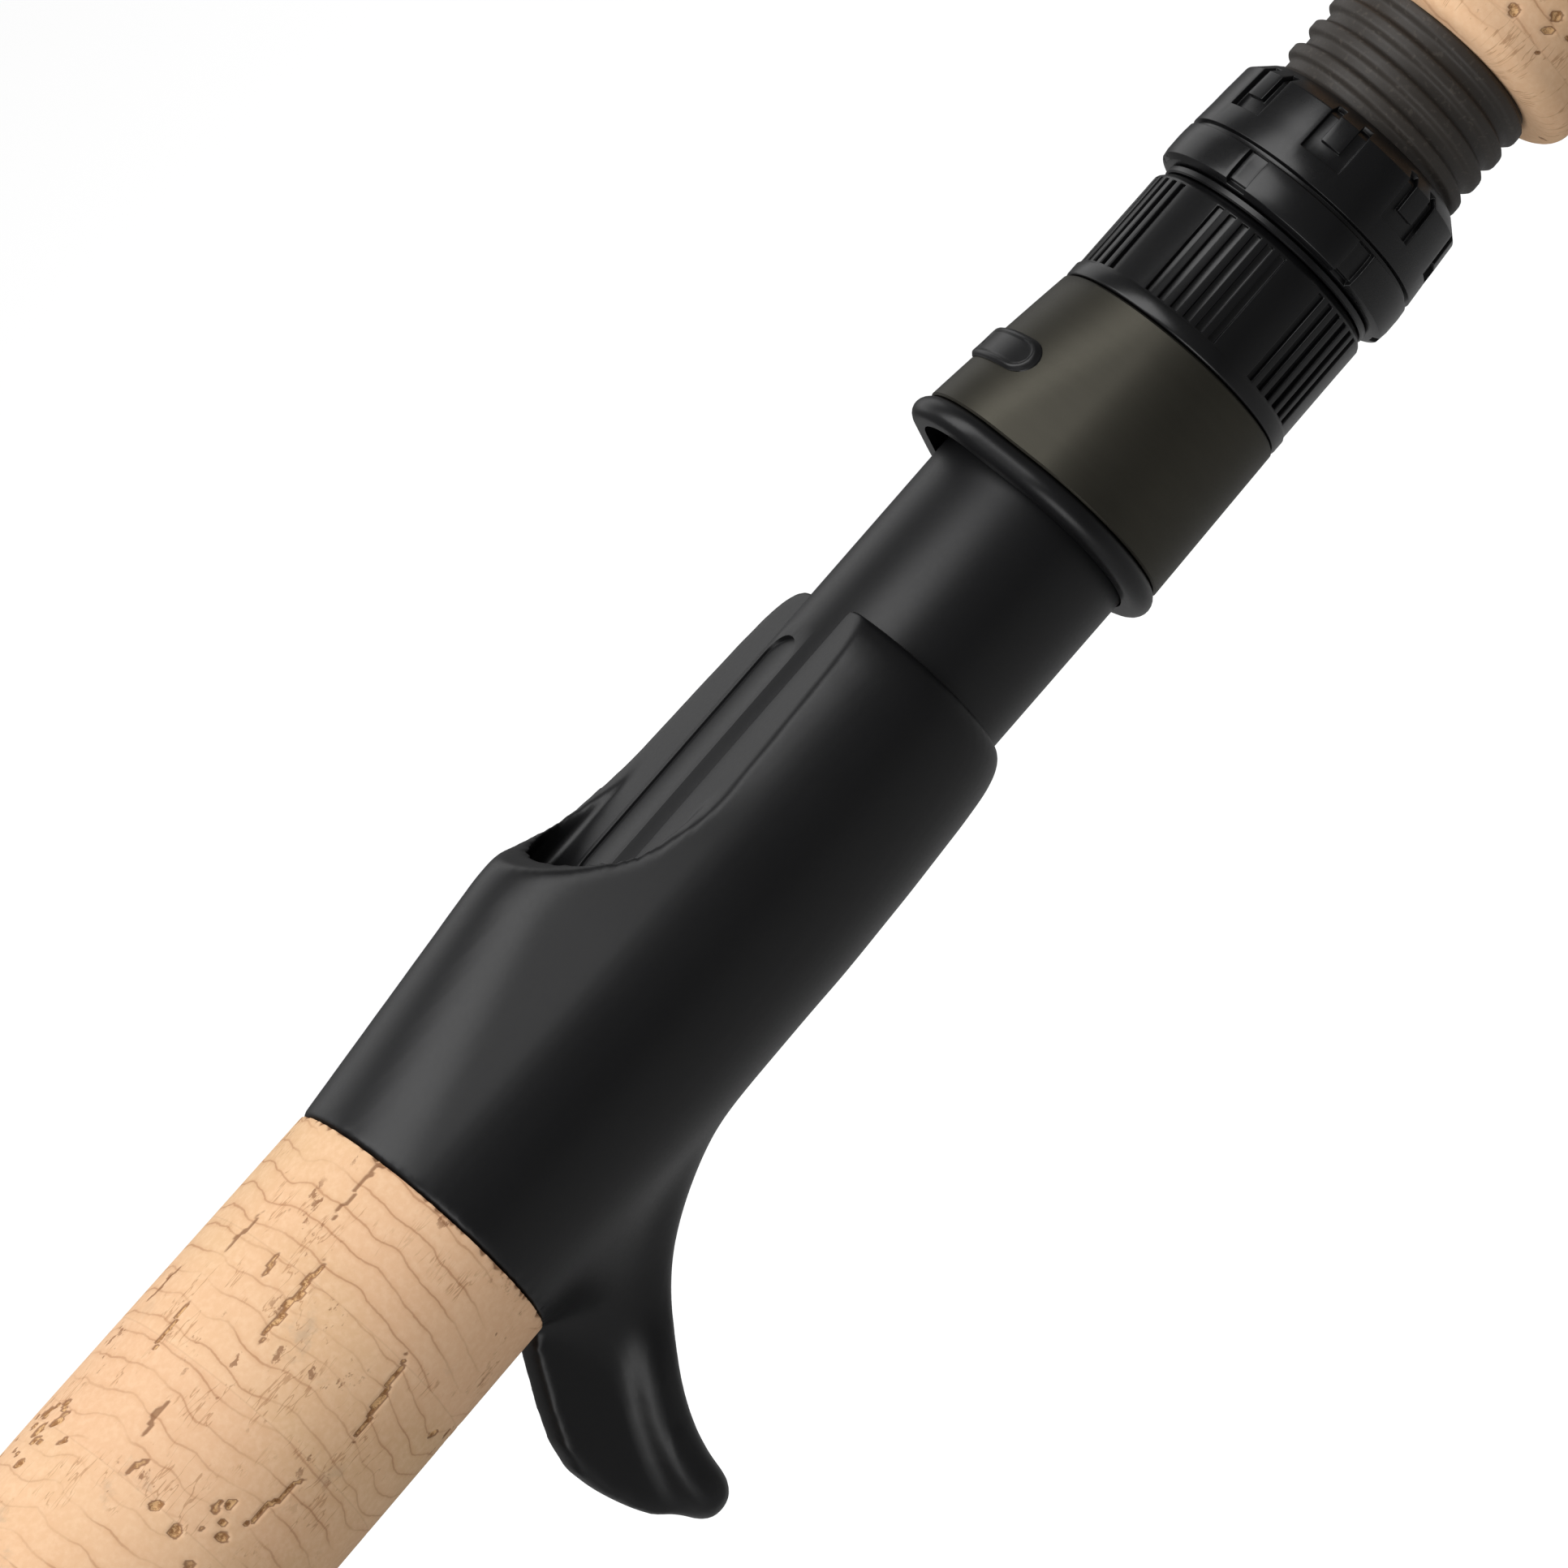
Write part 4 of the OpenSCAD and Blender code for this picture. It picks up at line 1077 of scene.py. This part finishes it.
def mouldedRubber():
    finish = Finish("mouldedRubber", IOR=1.45)
    cloud = finish.noise(90, 4)
    grain = finish.noise(1900, 3)
    base = finish.blend(cloud, (0.017, 0.017, 0.018), (0.027, 0.0265, 0.026))
    dust = grain.step(0.58, 0.75) * 0.35
    finish.feed(Base_Color=finish.blend(dust, base, (0.06, 0.058, 0.055)), Roughness=grain * 0.2 + 0.55)
    finish.relief(grain, 0.05 * mm, 0.6)
    return finish


def cutFoam():
    finish = Finish("cutFoam", IOR=1.3)
    poreDepthAndShade = finish.cells(2400)
    cloud = finish.noise(140, 3)
    base = finish.blend(cloud, (0.4, 0.29, 0.15), (0.52, 0.39, 0.22))
    # painted shade: the pores are painted darker where the bump sinks them
    finish.feed(Base_Color=finish.blend(1 - poreDepthAndShade.step(0.1, 0.5), base, (0.2, 0.13, 0.06)),
                Roughness=cloud * 0.1 + 0.8)
    finish.relief(poreDepthAndShade, 0.08 * mm, 0.7)
    return finish


def polishedSteel():
    finish = Finish("polishedSteel", Metallic=1.0)
    scratch = finish.noise(2600, 2, stretch=(0.05, 1, 1))
    cloud = finish.noise(220, 3)
    base = finish.blend(cloud, (0.5, 0.51, 0.53), (0.62, 0.63, 0.65))
    finish.feed(Base_Color=finish.blend(scratch.step(0.6, 0.8) * 0.3, base, (0.4, 0.4, 0.42)),
                Roughness=scratch * 0.14 + cloud * 0.08 + 0.08)
    finish.relief(scratch, 0.006 * mm, 0.3)
    return finish


def darkCeramic():
    finish = Finish("darkCeramic", IOR=1.9)
    cloud = finish.noise(700, 3)
    finish.feed(Base_Color=finish.blend(cloud, (0.012, 0.012, 0.015), (0.026, 0.026, 0.031)),
                Roughness=cloud * 0.1 + 0.05)
    finish.relief(cloud, 0.004 * mm, 0.2)
    return finish


def varnishedThread():
    # turns of thread lie side by side under a clear varnish
    finish = Finish("varnishedThread", IOR=1.5, Coat_Weight=1.0, Coat_Roughness=0.05)
    turn = finish.around()
    ridgeAndPaintedShade = ((finish.x / (0.22 * mm) + turn / (2 * pi)) * (2 * pi)).through("SINE") * 0.5 + 0.5
    fibre = finish.noise(2600, 3, stretch=(1, 0.3, 0.3))
    # painted shade: each turn is painted lighter on its crown and darker where it meets the next turn; the
    # same pattern gives the ridges their bump
    base = finish.blend(ridgeAndPaintedShade, (0.02, 0.004, 0.004), (0.09, 0.018, 0.014))
    finish.feed(Base_Color=finish.blend(fibre * 0.4, base, (0.055, 0.011, 0.009)),
                Roughness=fibre * 0.16 + 0.3)
    finish.relief(ridgeAndPaintedShade, 0.03 * mm, 0.5)
    return finish


graphite, rubber, foam = woundGraphite(), mouldedRubber(), cutFoam()
steel, ceramic, threadWrap = polishedSteel(), darkCeramic(), varnishedThread()
dress(nodes["blank"], graphite)
dress(nodes["butt_cap"], rubber)
dress(nodes["seat_arbors"], foam)
for name in ("winding_check", "hook_keeper", "tip_tube", "tip_frame"):
    dress(nodes[name], steel)
dress(nodes["tip_ring"], ceramic)
for name in ("keeper_wraps", "tip_wrap"):
    dress(nodes[name], threadWrap)
guideCount = 7
for number in range(1, guideCount + 1):
    dress(nodes[f"guide_{number}_frame"], steel)
    dress(nodes[f"guide_{number}_ring"], ceramic)
    dress(nodes[f"guide_{number}_wraps"], threadWrap)
print("remaining pieces dressed")


# Floor and light
studio = {
    "floorZ": -0.42,
    "floorSize": 30,
    "fill": 0.2,         # strength of the room's light
    "floorGlow": 0.75,   # what the floor adds to its own brightness in the view
}
softboxes = (
    # name, place from the point that the camera looks at, size, power
    ("topSoftbox", (-0.1, -0.15, 0.95), (1.3, 0.7), 12.5),
    ("backSoftbox", (0.15, 1.15, 0.6), (1.5, 0.8), 3.4),
    ("buttSoftbox", (-0.95, -0.85, 0.2), (0.8, 0.8), 6.5),
)


def addFloor():
    deselectAll()
    bpy.ops.mesh.primitive_plane_add(size=studio["floorSize"], location=(0.8, 0, studio["floorZ"]))
    floor = bpy.context.object
    floor.name = "floor"
    bpy.ops.object.transform_apply(location=True)
    paint = Finish("floorPaint", Roughness=0.9)
    paint.feed(Base_Color=paint.blend(paint.noise(3, 2), (0.45, 0.45, 0.45), (0.47, 0.47, 0.47)))
    seen = paint.make("ShaderNodeLightPath", {}, {})
    paint.shader.inputs["Emission Color"].default_value = (1, 1, 1, 1)
    paint.feed(Emission_Strength=seen * studio["floorGlow"])
    dress(floor, paint)


def addRoomLight():
    world = bpy.data.worlds.new("studio")
    bpy.context.scene.world = world
    world.use_nodes = True
    sky = world.node_tree.nodes["Background"]
    sky.inputs["Color"].default_value = (1, 1, 1, 1)
    seen = world.node_tree.nodes.new("ShaderNodeLightPath")
    spread = world.node_tree.nodes.new("ShaderNodeMapRange")
    spread.inputs["To Min"].default_value = studio["fill"]
    spread.inputs["To Max"].default_value = 1.0
    world.node_tree.links.new(seen.outputs["Is Camera Ray"], spread.inputs["Value"])
    world.node_tree.links.new(spread.outputs["Result"], sky.inputs["Strength"])
    bpy.context.scene.view_settings.view_transform = "Standard"


def addSoftbox(name, place, size, power):
    data = bpy.data.lights.new(name, "AREA")
    data.shape = "RECTANGLE"
    data.size, data.size_y = size
    data.energy = power
    lamp = bpy.data.objects.new(name, data)
    bpy.context.scene.collection.objects.link(lamp)
    away = Vector(place)
    stand = Matrix.Translation(away + Vector((view["targetX"], 0, 0)))
    lamp.matrix_world = stand @ away.to_track_quat("Z", "Y").to_matrix().to_4x4()


addFloor()
addRoomLight()
for softbox in softboxes:
    addSoftbox(*softbox)
print("floor and lights added")
